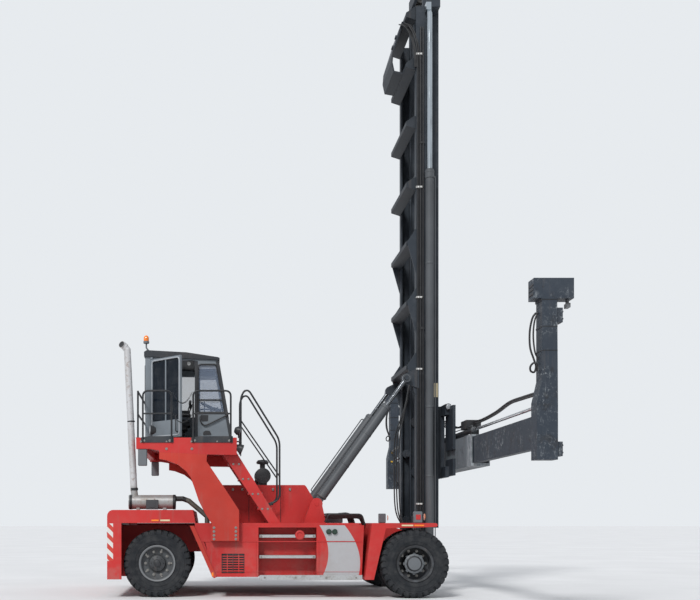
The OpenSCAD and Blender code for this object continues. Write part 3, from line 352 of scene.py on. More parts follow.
def make_finishes(colours):
    """Every finish by name, made once."""
    dark = rgb(0.045, 0.042, 0.040)
    cold = rgb(0.14, 0.15, 0.165)
    body = rgb(*colours.body)
    FINISHES.update({
        "body": painted("body_red", body, 0.55, 0.16, dark),
        "side": painted("side_red", body, 0.6, 0.20, dark, pattern=swoosh),
        "tail": painted("tail_red", body, 0.7, 0.26, dark, pattern=hazard),
        "arch": painted("arch_red", rgb(*colours.arch), 0.45, 0.12, dark),
        "mast": painted("mast_grey", rgb(*colours.mast), 0.5, 0.45, rgb(0.16, 0.14, 0.13), 0.5, dirt=cold),
        # The cross members get the mast's paint darkened to 0.7: painted shade of their faces that look down
        # and back; their upward faces are made pale by dust and painted highlight.
        "cross": painted("cross_grey_shade_and_highlight", shaded(colours.mast, 0.7), 0.5, 0.3,
                         rgb(0.16, 0.14, 0.13), 0.5, pale_tops_dust_and_highlight, dirt=cold),
        "spreader": painted("spreader_grey", rgb(*colours.spreader), 0.55, 0.35,
                            rgb(0.26, 0.26, 0.27), 0.5, scuffed, dirt=cold),
        "tube": painted("tube_grey", rgb(0.13, 0.15, 0.165), 1.0, 0.20, rgb(0.06, 0.055, 0.055), 0.5, mounted,
                        dirt=cold),
        "cab": painted("cab_grey", rgb(*colours.cab), 0.3, 0.18, rgb(0.16, 0.15, 0.15), 0.42),
        "roof": painted("roof_grey", rgb(0.030, 0.034, 0.040), 0.3, 0.25, rgb(0.1, 0.1, 0.1), 0.45),
        "rail": painted("rail_black", rgb(0.018, 0.020, 0.023), 0.35, 0.15, rgb(0.12, 0.10, 0.09), 0.4),
        "axle": cast("axle_casting", rgb(0.035, 0.034, 0.034)),
        "engine": cast("engine_casting", rgb(0.06, 0.065, 0.07), 0.5, 0.6),
        "steps": tread_plate("galvanised_tread"),
        "tyre": rubber("tyre_rubber"),
        "rim": painted("rim_dark", rgb(0.020, 0.021, 0.023), 0.5, 0.4, rgb(0.16, 0.13, 0.11), 0.5, dirt=cold),
        "disc": painted("disc_grey", rgb(0.060, 0.064, 0.067), 0.8, 0.3, rgb(0.26, 0.26, 0.26), 0.45, rimmed,
                        dirt=cold),
        "chrome": chrome("hard_chrome", rgb(0.50, 0.55, 0.58)),
        # The spread rods get a chrome brighter than the lift rods': a painted bright reflection.
        "chrome_bright_reflection": chrome("chrome_bright_reflection", rgb(0.80, 0.81, 0.82)),
        # The tilt rods get a dark chrome: a painted reflection of dark ground, with a film of oil.
        "chrome_dark_reflection": chrome("chrome_dark_reflection", rgb(0.17, 0.18, 0.19)),
        "hose": plain("hose_black", rgb(0.012, 0.012, 0.013), 0.45, grain=120.0),
        "steel": cast("worn_steel", rgb(0.12, 0.125, 0.13), 0.4, 0.5),
        "chain": cast("chain_steel", rgb(0.05, 0.047, 0.043), 0.4, 0.7),
        "muffler": sheet_steel("muffler_sheet"),
        "black": plain("black_plastic", rgb(0.014, 0.014, 0.016), 0.5),
        "glass": glass("tinted_glass", rgb(0.22, 0.27, 0.36), 0.30),
        "pane": glass("dark_glass", rgb(0.004, 0.008, 0.014), 0.88),
        "cloth": cloth("seat_cloth"),
        "console": plain("console_plastic", rgb(0.035, 0.036, 0.04), 0.55),
        "lamp": plain("lamp_grey", rgb(0.20, 0.20, 0.21), 0.35),
        "orange": lamp_orange("orange_lens"),
        "white": plain("clamp_white", rgb(0.62, 0.62, 0.60), 0.5),
        "barrel": painted("barrel_grey", rgb(0.072, 0.078, 0.084), 0.5, 0.3, rgb(0.2, 0.17, 0.14), 0.45,
                          dirt=cold),
        "housing": plain("housing_grey", rgb(0.115, 0.125, 0.135), 0.5),
        "bolt": plain("zinc_bolt", rgb(0.30, 0.29, 0.27), 0.4, 0.8),
        "cap": plain("filler_cap", rgb(0.012, 0.035, 0.022), 0.45),
        "cream": plain("cream_plate", rgb(0.62, 0.52, 0.32), 0.45),
        "red_lens": plain("red_lens", rgb(0.42, 0.010, 0.008), 0.2, speckle=0.2, Coat_Weight=0.5),
        "yellow": plain("yellow_tape", rgb(0.62, 0.38, 0.03), 0.5),
        "pale": plain("pale_grey", rgb(0.34, 0.36, 0.38), 0.45),
        "lens": plain("clear_lens", rgb(0.38, 0.40, 0.42), 0.15, speckle=0.3, Coat_Weight=0.4),
    })


NODE_FINISH = {
    "body": "chassis_frame rear_deck front_fenders engine_hood cab_platform cab_stair",
    "side": "side_cabinets",
    "tail": "counterweight",
    "arch": "pedestal_arches",
    "mast": "mast_rails inner_rails inner_cross_members carriage",
    "cross": "mast_cross_members hose_guard",
    "spreader": "arm_right arm_left",
    "rail": "platform_rails rear_rail stair_rails spread_cylinders",
    "tube": "spreader_tube",
    "cab": "cab_shell cab_door",
    "roof": "cab_roof",
    "axle": "drive_axle steer_axle knuckle_right knuckle_left",
    "engine": "engine_block",
    "steps": "access_steps",
    "tyre": "drive_tyres_right drive_tyres_left steer_tyre_right steer_tyre_left",
    "rim": "drive_rims_right drive_rims_left",
    "disc": "steer_rim_right steer_rim_left",
    "chrome": "lift_rods",
    "steel": "locks_right locks_left",
    "chrome_dark_reflection": "tilt_rods",
    "hose": "mast_pipes",
    "chain": "lift_chains",
    "muffler": "exhaust",
    "black": "air_cleaner",
    "glass": "cab_glass",
    "pane": "door_glass",
    "cloth": "operator_seat",
    "console": "cab_console",
    "lamp": "body_lamps",
    "barrel": "tilt_barrels lift_barrels",
}


def unit(vectors):
    return vectors / np.linalg.norm(vectors, axis=-1, keepdims=True)


def curve(points, steps):
    """A smooth line through points: a cubic between each two, whose slope at a point is that between its
    neighbours."""
    p = np.asarray(points, float)
    ends = np.vstack([2 * p[0] - p[1], p, 2 * p[-1] - p[-2]])
    t = np.linspace(0, 1, steps, endpoint=False)[None, :, None]
    a, b, c, d = (ends[i:len(ends) - 3 + i, None] for i in range(4))
    square, cube = 2 * a - 5 * b + 4 * c - d, 3 * b - a - 3 * c + d
    line = 0.5 * (2 * b + (c - a) * t + square * t ** 2 + cube * t ** 3)
    return np.vstack([line.reshape(-1, p.shape[1]), p[-1:]])


def bent(points, radius, steps):
    """A line of straight runs whose corners are parabolas that start and end a radius away from them."""
    p = np.asarray(points, float)
    before = p[1:-1] + radius * unit(p[:-2] - p[1:-1])
    after = p[1:-1] + radius * unit(p[2:] - p[1:-1])
    t = np.linspace(0, 1, steps)[None, :, None]
    arcs = before[:, None] * (1 - t) ** 2 + 2 * p[1:-1, None] * t * (1 - t) + after[:, None] * t ** 2
    return np.vstack([p[:1], arcs.reshape(-1, 3), p[-1:]])


def grid(rows, columns, around=True, along=False):
    """Quads between the points of a grid; around joins the last column to the first, along the last row."""
    i = np.arange(rows if along else rows - 1)[:, None]
    j = np.arange(columns if around else columns - 1)[None, :]
    k, m = (i + 1) % rows, (j + 1) % columns
    return np.stack([i * columns + j, k * columns + j, k * columns + m, i * columns + m], -1).reshape(-1, 4)


def rings(path, along, radius, sides, toward):
    """Circles about the points of a path, square to its direction, with both ends closed."""
    across = unit(np.cross(along, toward))
    up = np.cross(across, along)
    angle = np.arange(sides) * 2 * pi / sides
    circle = across[:, None] * np.cos(angle)[None, :, None] + up[:, None] * np.sin(angle)[None, :, None]
    points = path[:, None] + circle * np.broadcast_to(radius, len(path))[:, None, None]
    last = (len(path) - 1) * sides
    caps = [np.arange(sides)[None, ::-1], last + np.arange(sides)[None]]
    return points.reshape(-1, 3), [grid(len(path), sides)] + caps


def tube(path, radius, sides=10):
    """A round bar along a path; its circles are laid out from the direction that the path follows least."""
    path = np.asarray(path, float)
    along = unit(np.gradient(path, axis=0))
    return rings(path, along, radius, sides, np.linalg.svd(along)[2][2])


def turned(start, direction, profile, sides=24):
    """A turned piece: circles whose distance along an axis and radius are given by a profile."""
    profile = np.asarray(profile, float)
    direction = unit(np.asarray(direction, float))
    path = np.asarray(start, float) + profile[:, :1] * direction
    along = np.broadcast_to(direction, path.shape)
    return rings(path, along, np.maximum(profile[:, 1], 0.0004), sides, np.eye(3)[np.argmin(abs(direction))])


CORNERS = np.array([[x, y, z] for x in (-1, 1) for y in (-1, 1) for z in (-1, 1)])
FLATS = 3 * np.array([[0, 1, 3, 2], [4, 6, 7, 5], [0, 1, 5, 4], [2, 3, 7, 6], [0, 2, 6, 4], [1, 3, 7, 5]]) \
    + np.array([0, 0, 1, 1, 2, 2])[:, None]
PAIRS = [(k, a, a + step) for k, step in enumerate((4, 2, 1)) for a in range(8) if not a & step]
BANDS = np.array([[3 * a + (k + 1) % 3, 3 * b + (k + 1) % 3, 3 * b + (k + 2) % 3, 3 * a + (k + 2) % 3]
                  for k, a, b in PAIRS])
TIPS = np.arange(24).reshape(8, 3)


def box(low, high, edge=0.004):
    """A box between two opposite corners, with its edges and corners cut off flat: each corner is three
    points, one on each face."""
    low, high = np.sort(np.array([low, high], float), axis=0)
    half = (high - low) / 2
    reach = np.where(np.eye(3, dtype=bool), half, half - min(edge, half.min() * 0.45))
    return ((low + high) / 2 + (CORNERS[:, None] * reach[None]).reshape(-1, 3)), [FLATS, BANDS, TIPS]


def plate(outline, low, high):
    """A flat plate: an outline of X and Z and its copy at another Y, joined by a band."""
    outline = np.asarray(outline, float)
    count = len(outline)
    points = np.zeros((2, count, 3))
    points[:, :, 0], points[:, :, 2] = outline[:, 0], outline[:, 1]
    points[0, :, 1], points[1, :, 1] = low, high
    near = np.arange(count)
    band = np.stack([near, np.roll(near, -1), np.roll(near, -1) + count, near + count], -1)
    return points.reshape(-1, 3), [band, near[None, ::-1], near[None] + count]


def hose(points, radius, steps=8, sides=10):
    """A round bar along a smooth line through points."""
    return tube(curve(points, steps), radius, sides)


def pipe(points, corner, radius, sides=10, steps=5):
    """A round bar along straight runs with rounded corners."""
    return tube(bent(points, corner, steps), radius, sides)


def hoop(start, direction, inner, outer, slope, width, sides=32):
    """A flat band round a round piece, which slopes down to it at both edges."""
    return turned(start, direction, [(0, inner), (slope, outer), (width - slope, outer),
                                     (width, inner)], sides)


def ahead(points):
    """Points whose X is given from the drive axle."""
    return np.asarray(points, float) + [AXLE, 0, 0]


def turn(part, degrees, about):
    """A part turned about a line along Y through a point."""
    matrix = np.array(Matrix.Rotation(radians(degrees), 3, "Y"))
    about = np.asarray(about, float)
    return (part[0] - about) @ matrix.T + about, part[1]


def spun(parts, centre, count):
    """Copies of parts, evenly round a line along Y through a centre."""
    return [turn(part, 360 * i / count, centre) for part in parts for i in range(count)]


def both(parts):
    """Parts and their mirror images on the other side."""
    return parts + [(points * [1, -1, 1], faces) for points, faces in parts]


def bolt(place, direction, radius, height):
    """A hexagon head on a round washer."""
    washer = turned(place, direction, [(0, radius * 1.5), (height * 0.2, radius * 1.5)], 14)
    start = np.asarray(place, float) + unit(np.asarray(direction, float)) * height * 0.2
    return [washer, turned(start, direction, [(0, radius), (height * 0.8, radius),
                                              (height, radius * 0.8)], 6)]


def bolts(places, direction, radius, height):
    return [part for place in places for part in bolt(place, direction, radius, height)]


def surface(name, finish, parts, body="chassis", replaced=()):
    """Joins parts into one piece, faces outwards, with its finish, on a body."""
    starts = np.cumsum([0] + [len(points) for points, _ in parts])
    faces = [np.asarray(quads) + start for (_, groups), start in zip(parts, starts) for quads in groups]
    counts = np.concatenate([np.full(len(group), group.shape[1]) for group in faces])
    mesh = bpy.data.meshes.new(name)
    mesh.vertices.add(starts[-1])
    mesh.vertices.foreach_set("co", np.concatenate([points for points, _ in parts]).ravel())
    mesh.loops.add(counts.sum())
    mesh.loops.foreach_set("vertex_index", np.concatenate([group.ravel() for group in faces]))
    mesh.polygons.add(len(counts))
    mesh.polygons.foreach_set("loop_start", np.cumsum(counts) - counts)
    mesh.update(calc_edges=True)
    mesh.validate()
    shell = bmesh.new()
    shell.from_mesh(mesh)
    bmesh.ops.recalc_face_normals(shell, faces=shell.faces)
    shell.to_mesh(mesh)
    shell.free()
    mesh.shade_smooth()
    mesh.set_sharp_from_angle(angle=SMOOTH_ANGLE)
    mesh.materials.append(FINISHES[finish])
    piece = bpy.data.objects.new(name, mesh)
    bpy.context.scene.collection.objects.link(piece)
    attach(piece, body)
    if replaced:
        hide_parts(*replaced)
    return piece


def tyre(x, y):
    """A tyre: a smooth section of widths and radii turned about its axle. Its tread is lower where a saw wave
    of the angle, swept back across the width, falls in a groove, and along a zigzag line near the middle. The
    grooves run on down the shoulder, where they cut into its width."""
    section = [(0.112, 0.306), (0.138, 0.326), (0.153, 0.365), (0.1585, 0.398), (0.1635, 0.402),
               (0.1635, 0.412), (0.1600, 0.416), (0.1610, 0.460), (0.1640, 0.486), (0.1640, 0.492),
               (0.1590, 0.496), (0.1600, 0.520), (0.1620, 0.524), (0.1600, 0.555), (0.1540, 0.580),
               (0.1430, 0.600), (0.1240, 0.606), (0.0850, 0.610), (0.0400, 0.6125),
               (0.0200, 0.613), (0.0, 0.613)]
    half = curve(section, 3)
    line = np.vstack([half, (half * [-1, 1])[-2::-1]])
    width, radius = line[:, 0][None], line[:, 1][None]
    lugs, groove, sweep, line_at = 30, 0.34, 3.0, 0.045
    angle = (np.arange(lugs * 10) * 2 * pi / (lugs * 10))[:, None]
    phase = angle * lugs / (2 * pi) + np.where(width > 0, 0.5, 0.0) + abs(width) * sweep
    cut = ((phase % 1.0) < groove) & (abs(width) > line_at)
    zigzag = abs(abs(width) - line_at - 0.006 * np.sign((phase % 1.0) - 0.5)) < 0.007
    depth = 0.020 * np.clip((radius - 0.560) / 0.030, 0, 1)
    pull = 0.016 * np.clip((radius - 0.522) / 0.006, 0, 1) * cut * (abs(width) > 0.13)
    radius = radius - depth * (cut | zigzag)
    width = np.broadcast_to(width, radius.shape) - np.sign(width) * pull
    points = np.stack([x + radius * np.cos(angle), y + width, WHEEL_Z + radius * np.sin(angle)], -1)
    return points.reshape(-1, 3), [grid(*radius.shape, True, True)]


def cushion(low, high, crown):
    """A closed pad: a grid whose height is a crown that falls to the edge by a fourth power of the distance
    from the middle, over a flat underside, with sides that bulge between its corners."""
    rows = 14
    u, v = np.meshgrid(np.linspace(-1, 1, rows), np.linspace(-1, 1, rows), indexing="ij")
    low, high = np.asarray(low, float), np.asarray(high, float)
    middle, half = (low + high) / 2, (high - low) / 2
    pull = 1 - 0.035 * np.stack([v ** 2, u ** 2], -1)
    flat = middle[:2] + np.stack([u, v], -1) * half[:2] * pull
    edge = np.maximum(abs(u), abs(v))
    channels = 0.006 * np.exp(-(((u + 0.33) % 0.66 - 0.33) / 0.05) ** 2)
    top = high[2] - crown * edge ** 4 - channels * (edge < 0.85)
    points = np.concatenate([np.dstack([flat, top]).reshape(-1, 3),
                             np.dstack([flat, np.full(u.shape, low[2])]).reshape(-1, 3)])
    ids = np.arange(rows * rows).reshape(rows, rows)
    rim = np.concatenate([ids[:-1, 0], ids[-1, :-1], ids[:0:-1, -1], ids[0, :0:-1]])
    band = np.stack([rim, np.roll(rim, -1), np.roll(rim, -1) + rows * rows, rim + rows * rows], -1)
    quads = grid(rows, rows, False)
    return points, [quads, quads + rows * rows, band]


class FinishColours(bpy.types.PropertyGroup):
    """Colours of the truck's paints."""

    body: bpy.props.FloatVectorProperty(name="Body", description="Paint of the body and platform",
                                        subtype="COLOR", default=(0.48, 0.026, 0.024))
    arch: bpy.props.FloatVectorProperty(name="Arches", description="Paint of the cab's arches",
                                        subtype="COLOR", default=(0.47, 0.036, 0.022))
    mast: bpy.props.FloatVectorProperty(name="Mast", description="Paint of the mast and carriage",
                                        subtype="COLOR", default=(0.022, 0.029, 0.038))
    spreader: bpy.props.FloatVectorProperty(name="Spreader", description="Paint of the arms and beams",
                                            subtype="COLOR", default=(0.028, 0.037, 0.050))
    cab: bpy.props.FloatVectorProperty(name="Cab", description="Paint of the cab's panels",
                                       subtype="COLOR", default=(0.18, 0.205, 0.228))


class StageSettings(bpy.types.PropertyGroup):
    """Camera and lamps."""

    camera_place: bpy.props.FloatVectorProperty(name="Camera", description="Where the camera stands",
                                                subtype="TRANSLATION", default=(-1.44, -19.95, 1.34))
    camera_yaw: bpy.props.FloatProperty(name="Yaw", description="Turn of the camera to the truck's front",
                                        subtype="ANGLE", default=0.0)
    camera_pitch: bpy.props.FloatProperty(name="Pitch", description="Tilt of the camera above level",
                                          subtype="ANGLE", default=0.0)
    lens: bpy.props.FloatProperty(name="Lens", description="Focal length on a 36 mm frame", unit="CAMERA",
                                  default=52.0)
    shift: bpy.props.FloatVectorProperty(name="Shift", description="Shift of the frame, in widths", size=2,
                                         default=(0.193, 0.3186))
    sun: bpy.props.FloatProperty(name="Sun", description="Strength of the main lamp", min=0.0, default=2.6)
    sky: bpy.props.FloatProperty(name="Sky", description="Strength of the light from all round", min=0.0,
                                 default=0.75)


class HANDLER_OT_finishes(bpy.types.Operator):
    """Make the finishes and give each CAD node its own"""

    bl_idname = "handler.finishes"
    bl_label = "Finishes"

    def execute(self, context):
        make_finishes(context.scene.handler_colours)
        for finish, nodes in NODE_FINISH.items():
            for node in nodes.split():
                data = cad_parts[node].data
                data.materials.clear()
                data.materials.append(FINISHES[finish])
        return {"FINISHED"}


class HANDLER_OT_tyres(bpy.types.Operator):
    """Make the six tyres, with their treads, in place of the plain ones"""

    bl_idname = "handler.tyres"
    bl_label = "Tyres"

    def execute(self, context):
        for side, sign in SIDES:
            twins = [tyre(AXLE, sign * y) for y in (1.46, 1.84)]
            surface(f"drive_treads_{side}", "tyre", twins, f"drive_wheel_{side}", [f"drive_tyres_{side}"])
            surface(f"steer_tread_{side}", "tyre", [tyre(STEER_X, sign * 1.59)], f"steer_wheel_{side}",
                    [f"steer_tyre_{side}"])
        return {"FINISHED"}


class HANDLER_OT_wheel_trim(bpy.types.Operator):
    """Add wheel nuts, hub covers and valve stems"""

    bl_idname = "handler.wheel_trim"
    bl_label = "Wheel trim"

    def execute(self, context):
        drive, steer = (AXLE, 0, WHEEL_Z), (STEER_X, 0, WHEEL_Z)
        for side, sign in SIDES:
            out = (0, sign, 0)
            nut = bolt((AXLE + 0.232, sign * 1.737, WHEEL_Z), out, 0.017, 0.03)
            surface(f"drive_nuts_{side}", "bolt", spun(nut, drive, 10), f"drive_wheel_{side}")
            y = sign * 1.880
            cover = [turned((AXLE, y, WHEEL_Z), out, [(0, 0.176), (0.018, 0.176), (0.024, 0.168),
                                                      (0.030, 0.12), (0.046, 0.112), (0.052, 0.0)], 40)]
            cover += spun(bolt((AXLE + 0.152, sign * 1.902, WHEEL_Z), out, 0.010, 0.012), drive, 12)
            cover += spun([box((AXLE + 0.168, y - 0.008, WHEEL_Z - 0.025),
                               (AXLE + 0.196, y + 0.008, WHEEL_Z + 0.025))], drive, 8)
            surface(f"drive_hub_cover_{side}", "housing", cover, f"drive_wheel_{side}")
            nuts = spun(bolt((STEER_X + 0.215, sign * 1.650, WHEEL_Z), out, 0.017, 0.03), steer, 10)
            stud = turned((STEER_X + 0.252, sign * 1.640, WHEEL_Z), out, [(0, 0.016), (0.024, 0.016)], 10)
            surface(f"steer_nuts_{side}", "bolt", nuts + spun([stud], steer, 5), f"steer_wheel_{side}")
            cap = [turned((STEER_X, sign * 1.722, WHEEL_Z), out,
                          [(0, 0.062), (0.02, 0.060), (0.03, 0.045), (0.034, 0.0)], 28)]
            cap += spun(bolt((STEER_X + 0.108, sign * 1.706, WHEEL_Z), out, 0.009, 0.010), steer, 8)
            surface(f"steer_cap_{side}", "rim", cap, f"steer_wheel_{side}")
            for name, x, y in (("drive", AXLE, 1.90), ("steer", STEER_X, 1.68)):
                stem = [(x - 0.20, sign * (y - 0.03), WHEEL_Z + 0.17),
                        (x - 0.205, sign * (y + 0.01), WHEEL_Z + 0.18),
                        (x - 0.20, sign * (y + 0.05), WHEEL_Z + 0.172)]
                surface(f"{name}_valve_{side}", "bolt", [hose(stem, 0.006, 5, 8)], f"{name}_wheel_{side}")
        return {"FINISHED"}


class HANDLER_OT_body_trim(bpy.types.Operator):
    """Add the body's grilles, caps, reflectors, seams and lamps"""

    bl_idname = "handler.body_trim"
    bl_label = "Body trim"

    def execute(self, context):
        x0, x1, z0, z1 = -1.315, -0.915, 0.445, 0.785
        middle = (x0 + x1) / 2
        bars = []
        for a, b in ((x0 + 0.012, middle - 0.008), (middle + 0.008, x1 - 0.012)):
            bars += [box((x - 0.003, -1.840, z0), (x + 0.003, -1.833, z1), 0.001)
                     for x in np.linspace(a, b, 11)]
            bars += [box((a, -1.843, z - 0.003), (b, -1.836, z + 0.003), 0.001)
                     for z in np.linspace(z0 + 0.01, z1 - 0.01, 19)]
        surface("cabinet_grilles", "black", both(bars))
        frame = [box((x0, -1.85, z), (x1, -1.826, z + 0.012)) for z in (z0, z1 - 0.012)]
        frame += [box((x, -1.85, z0), (x + 0.012, -1.826, z1)) for x in (x0, middle - 0.006, x1 - 0.012)]
        frame += [box((x0, -1.828, z0), (x1, -1.8251, z1), 0.001)]
        surface("cabinet_grille_frames", "rim", both(frame))
        caps = []
        for x in (0.600, 0.705):
            caps += [turned((x, -1.845, 1.185), RIGHT, [(0, 0.050), (0.010, 0.050), (0.014, 0.040),
                                                        (0.034, 0.040), (0.042, 0.034), (0.044, 0.0)], 24)]
            caps += spun([box((x - 0.004, -1.889, 1.222), (x + 0.004, -1.862, 1.229), 0.001)],
                         (x, 0, 1.185), 12)
        surface("filler_caps", "cap", both(caps))
        seams = [box((-1.71, -1.857, 1.000), (1.19, -1.849, 1.016), 0.003),
                 box((-1.46, -1.855, 0.462), (1.17, -1.849, 0.468), 0.001)]
        seams += [box((x, -1.854, 0.39), (x + 0.006, -1.849, 1.0), 0.001) for x in (-0.70, 0.42)]
        surface("body_seams", "body", both(seams))
        places = [(x, -1.971, z) for x in (-1.456, -1.067) for z in (1.256, 1.19, 1.12, 1.055)]
        places += [(x, -1.971, 2.79) for x in (-2.75, -2.30, -1.85, -1.40)]
        places += [(x, -1.971, 2.66) for x in (-2.30, -1.85)]
        heads = bolts(places, RIGHT, 0.016, 0.014)
        places = [(x, -1.851, z) for x in (-0.61, 0.33) for z in (1.105, 0.735)]
        places += [(x, -1.911, 0.365) for x in (-0.55, 0.0, 0.55, 1.08)]
        surface("arch_bolts", "bolt", both(heads + bolts(places, RIGHT, 0.012, 0.012)))
        marks = [box((-1.500, -1.886, 0.385), (-1.465, -1.879, 0.455), 0.003),
                 box((-2.575, -1.858, 1.372), (-2.446, -1.849, 1.402), 0.003),
                 box((2.102, -1.998, 1.283), (2.277, -1.989, 1.310), 0.003)]
        surface("side_reflectors", "orange", both(marks))
        marks = [box((-2.419, -1.857, 1.372), (-2.245, -1.849, 1.402), 0.003),
                 box((1.878, -1.997, 1.283), (2.084, -1.989, 1.310), 0.003)]
        surface("pale_reflectors", "cream", both(marks))
        flange = [(-1.890, 1.290), (-1.812, 1.290), (-1.410, 0.375), (-1.450, 0.352), (-1.485, 0.375)]
        surface("cabinet_flanges", "arch", both([plate(flange, -1.880, -1.846)]))
        surface("arch_liners", "body", both([box((-2.93, -0.66, 1.205), (-1.80, -0.64, 1.338), 0.002)]))
        boss = turned((0.08, -1.849, 1.125), RIGHT, [(0, 0.085), (0.012, 0.085), (0.016, 0.078),
                                                     (0.016, 0.05), (0.006, 0.045)], 28)
        surface("side_bosses", "body", both([boss]))
        rim = [(0, 0.062), (0.012, 0.062), (0.014, 0.055)]
        surface("tail_lamp_rings", "black", both([turned((-3.369, -y, 1.16), REAR, rim)
                                                  for y in (1.30, 1.44, 1.58)]))
        lens = [(0, 0.054), (0.012, 0.050), (0.020, 0.03), (0.022, 0)]
        surface("tail_lamps", "red_lens", both([turned((-3.381, -y, 1.16), REAR, lens)
                                                for y in (1.44, 1.58)]))
        signals = [turned((-3.381, -1.30, 1.16), REAR, lens)]
        signals += [turned((2.291, -1.92, 1.45), FRONT, [(0, 0.060), (0.010, 0.054),
                                                         (0.016, 0.03), (0.018, 0)])]
        surface("turn_lamps", "orange", both(signals))
        pin = [turned((-3.43, 0, 0.545), UP, [(0, 0.018), (0.01, 0.0225), (0.235, 0.0225), (0.245, 0.036),
                                              (0.262, 0.036)], 20)]
        loop = [(-3.43, -0.02, 0.80), (-3.43, -0.06, 0.86), (-3.43, 0.06, 0.86), (-3.43, 0.02, 0.80)]
        surface("tow_pin", "bolt", pin + [pipe(loop, 0.02, 0.008, 8)])
        return {"FINISHED"}


def hanging_chain(y, height, droop):
    """A slack chain across the gap in a rail: ovals on a parabola, each turned a quarter from the next."""
    count, gap_middle, gap_half = 22, -2.0175, 0.178
    t = np.linspace(-1, 1, count + 1)
    path = np.stack([gap_middle + gap_half * t, np.full(count + 1, y), height - droop * (1 - t ** 2)], -1)
    angle = np.linspace(0, 2 * pi, 10, endpoint=False)
    links = []
    for i in range(count):
        middle, along = (path[i] + path[i + 1]) / 2, unit(path[i + 1] - path[i])
        side = np.array([0, 1.0, 0]) if i % 2 else np.cross(along, [0, 1.0, 0])
        oval = middle + np.outer(np.cos(angle) * 0.017, along) + np.outer(np.sin(angle) * 0.009, side)
        links += [tube(np.vstack([oval, oval[:1]]), 0.0032, 6)]
    return links


class HANDLER_OT_platform_trim(bpy.types.Operator):
    """Replace the platform's straight rails by bent ones, with chains, toe plates, stair rails and lamps"""

    bl_idname = "handler.platform_trim"
    bl_label = "Platform trim"

    def execute(self, context):
        top, mid, y, rear, foot = PLATFORM_Z + 0.83, PLATFORM_Z + 0.425, 1.9872, -2.818, PLATFORM_Z - 0.08
        rails = []
        for s in (-y, y):
            for a, b in ((-2.72, -2.21), (-1.825, -1.158)):
                rails += [pipe([(a, s, foot), (a, s, top), (b, s, top), (b, s, foot)], 0.10,
                               RAIL_RADIUS, 12, 7)]
                rails += [tube([(a, s, mid), (b, s, mid)], 0.015)]
        surface("bent_rails", "rail", rails, replaced=["platform_rails"])
        posts = (-SIDE_Y, -0.62, 0.62, SIDE_Y)
        rails = [tube([(rear, -SIDE_Y, z), (rear, SIDE_Y, z)], RAIL_RADIUS, 12) for z in (mid, top)]
        rails += [tube([(rear, s, PLATFORM_Z), (rear, s, top + RAIL_RADIUS)], RAIL_RADIUS, 12) for s in posts]
        rails += [turned((rear, s, PLATFORM_Z), UP, [(0, 0.04), (0.010, 0.04), (0.012, 0.022)],
                         16) for s in posts]
        surface("rear_rails", "rail", rails, replaced=["rear_rail"])
        low, high = PLATFORM_Z - 0.09, PLATFORM_Z + 0.025
        toes = [plate([(a, low), (b, low), (b, high), (a + 0.16, high), (a, PLATFORM_Z)], -1.981, -1.970)
                for a, b in ((-2.755, -2.175), (-1.86, -1.12))]
        surface("rail_plates", "roof", both(toes))
        places = [(x, -1.981, PLATFORM_Z - 0.055) for x in (-2.70, -2.24, -1.80, -1.18)]
        surface("rail_bolts", "bolt", both(bolts(places, RIGHT, 0.016, 0.012)))
        links = [link for s in (-y, y) for height, droop in ((top - 0.02, 0.20), (mid, 0.16))
                 for link in hanging_chain(s, height, droop)]
        surface("gap_chains", "rail", links)
        hands = []
        for s, inward in ((-1.817, 1), (-1.033, -1)):
            rail = [(-0.975, s, 2.62), (-0.975, s, 3.64), (-0.855, s, 3.76), (-0.28, s, 2.83),
                    (-0.28, s, 1.76), (-0.42, s, 1.69)]
            hands += [pipe(rail, 0.11, RAIL_RADIUS, 12, 8),
                      tube([(-0.975, s, 3.18), (-0.29, s, 2.19)], 0.013)]
            hands += [tube([(-1.05, s, z), (-0.975, s, z)], 0.013) for z in (2.72, 2.80)]
            hands += [turned((-0.42, s + inward * 0.0165, 1.69), (0, -inward, 0),
                             [(0, 0.032), (0.008, 0.032), (0.010, 0.02)], 16)]
        surface("stair_rails_bent", "rail", hands, replaced=["stair_rails"])
        heads, treads = [], []
        for i in range(1, 5):
            x, _, z = np.array([-0.368, 0, 1.34]) + np.array([-0.864, 0, 1.34]) * i / 5
            for face, out in ((-1.801, RIGHT), (-1.049, LEFT)):
                heads += bolts([(x + d, face, z - 0.015) for d in (-0.05, 0.05)], out, 0.013, 0.012)
            treads += [box((x - 0.13, -1.765, z + 0.0005), (x + 0.13, -1.085, z + 0.006), 0.002)]
        surface("stair_bolts", "bolt", heads)
        treads += [box((-2.80, s * 0.86, PLATFORM_Z + 0.0005), (-1.06, s * 1.90, PLATFORM_Z + 0.006), 0.002)
                   for s in (-1, 1)]
        surface("grip_plates", "steps", treads)
        lamps, lenses = [], []
        for place, aim in (((-1.02, -1.86, 2.99), (1, 0, -0.25)), ((-0.98, -1.95, 2.66), (1, 0, -0.4)),
                           ((-2.56, -1.955, 2.995), (-1, -0.12, 0.02)), ((-1.02, 1.86, 2.99), (1, 0, -0.25))):
            lamps += [turned(place, aim, [(-0.075, 0.02), (-0.07, 0.045), (-0.02, 0.078), (0.03, 0.085),
                                          (0.034, 0.078)])]
            lamps += [tube([place, (place[0], place[1], place[2] - 0.13)], 0.010, 8)]
            front = np.array(place) + unit(np.array(aim, float)) * 0.030
            lenses += [turned(front, aim, [(0, 0.076), (0.010, 0.066), (0.014, 0.0)])]
        surface("platform_lamps", "rail", lamps)
        surface("platform_lenses", "lens", lenses)
        return {"FINISHED"}


def screen_x(z):
    """X of the windscreen's outer face at a height: it leans back by 0.28 over the cab's 1.62."""
    return AXLE - 3.23 - 0.28 * (z - 2.86) / 1.62


def door_point(u, v, z):
    """A point given along the open door's leaf, out of it and up."""
    c, s = np.cos(DOOR_ANGLE), np.sin(DOOR_ANGLE)
    return AXLE - 4.753 + u * c - v * s, -0.828 + u * s + v * c, z


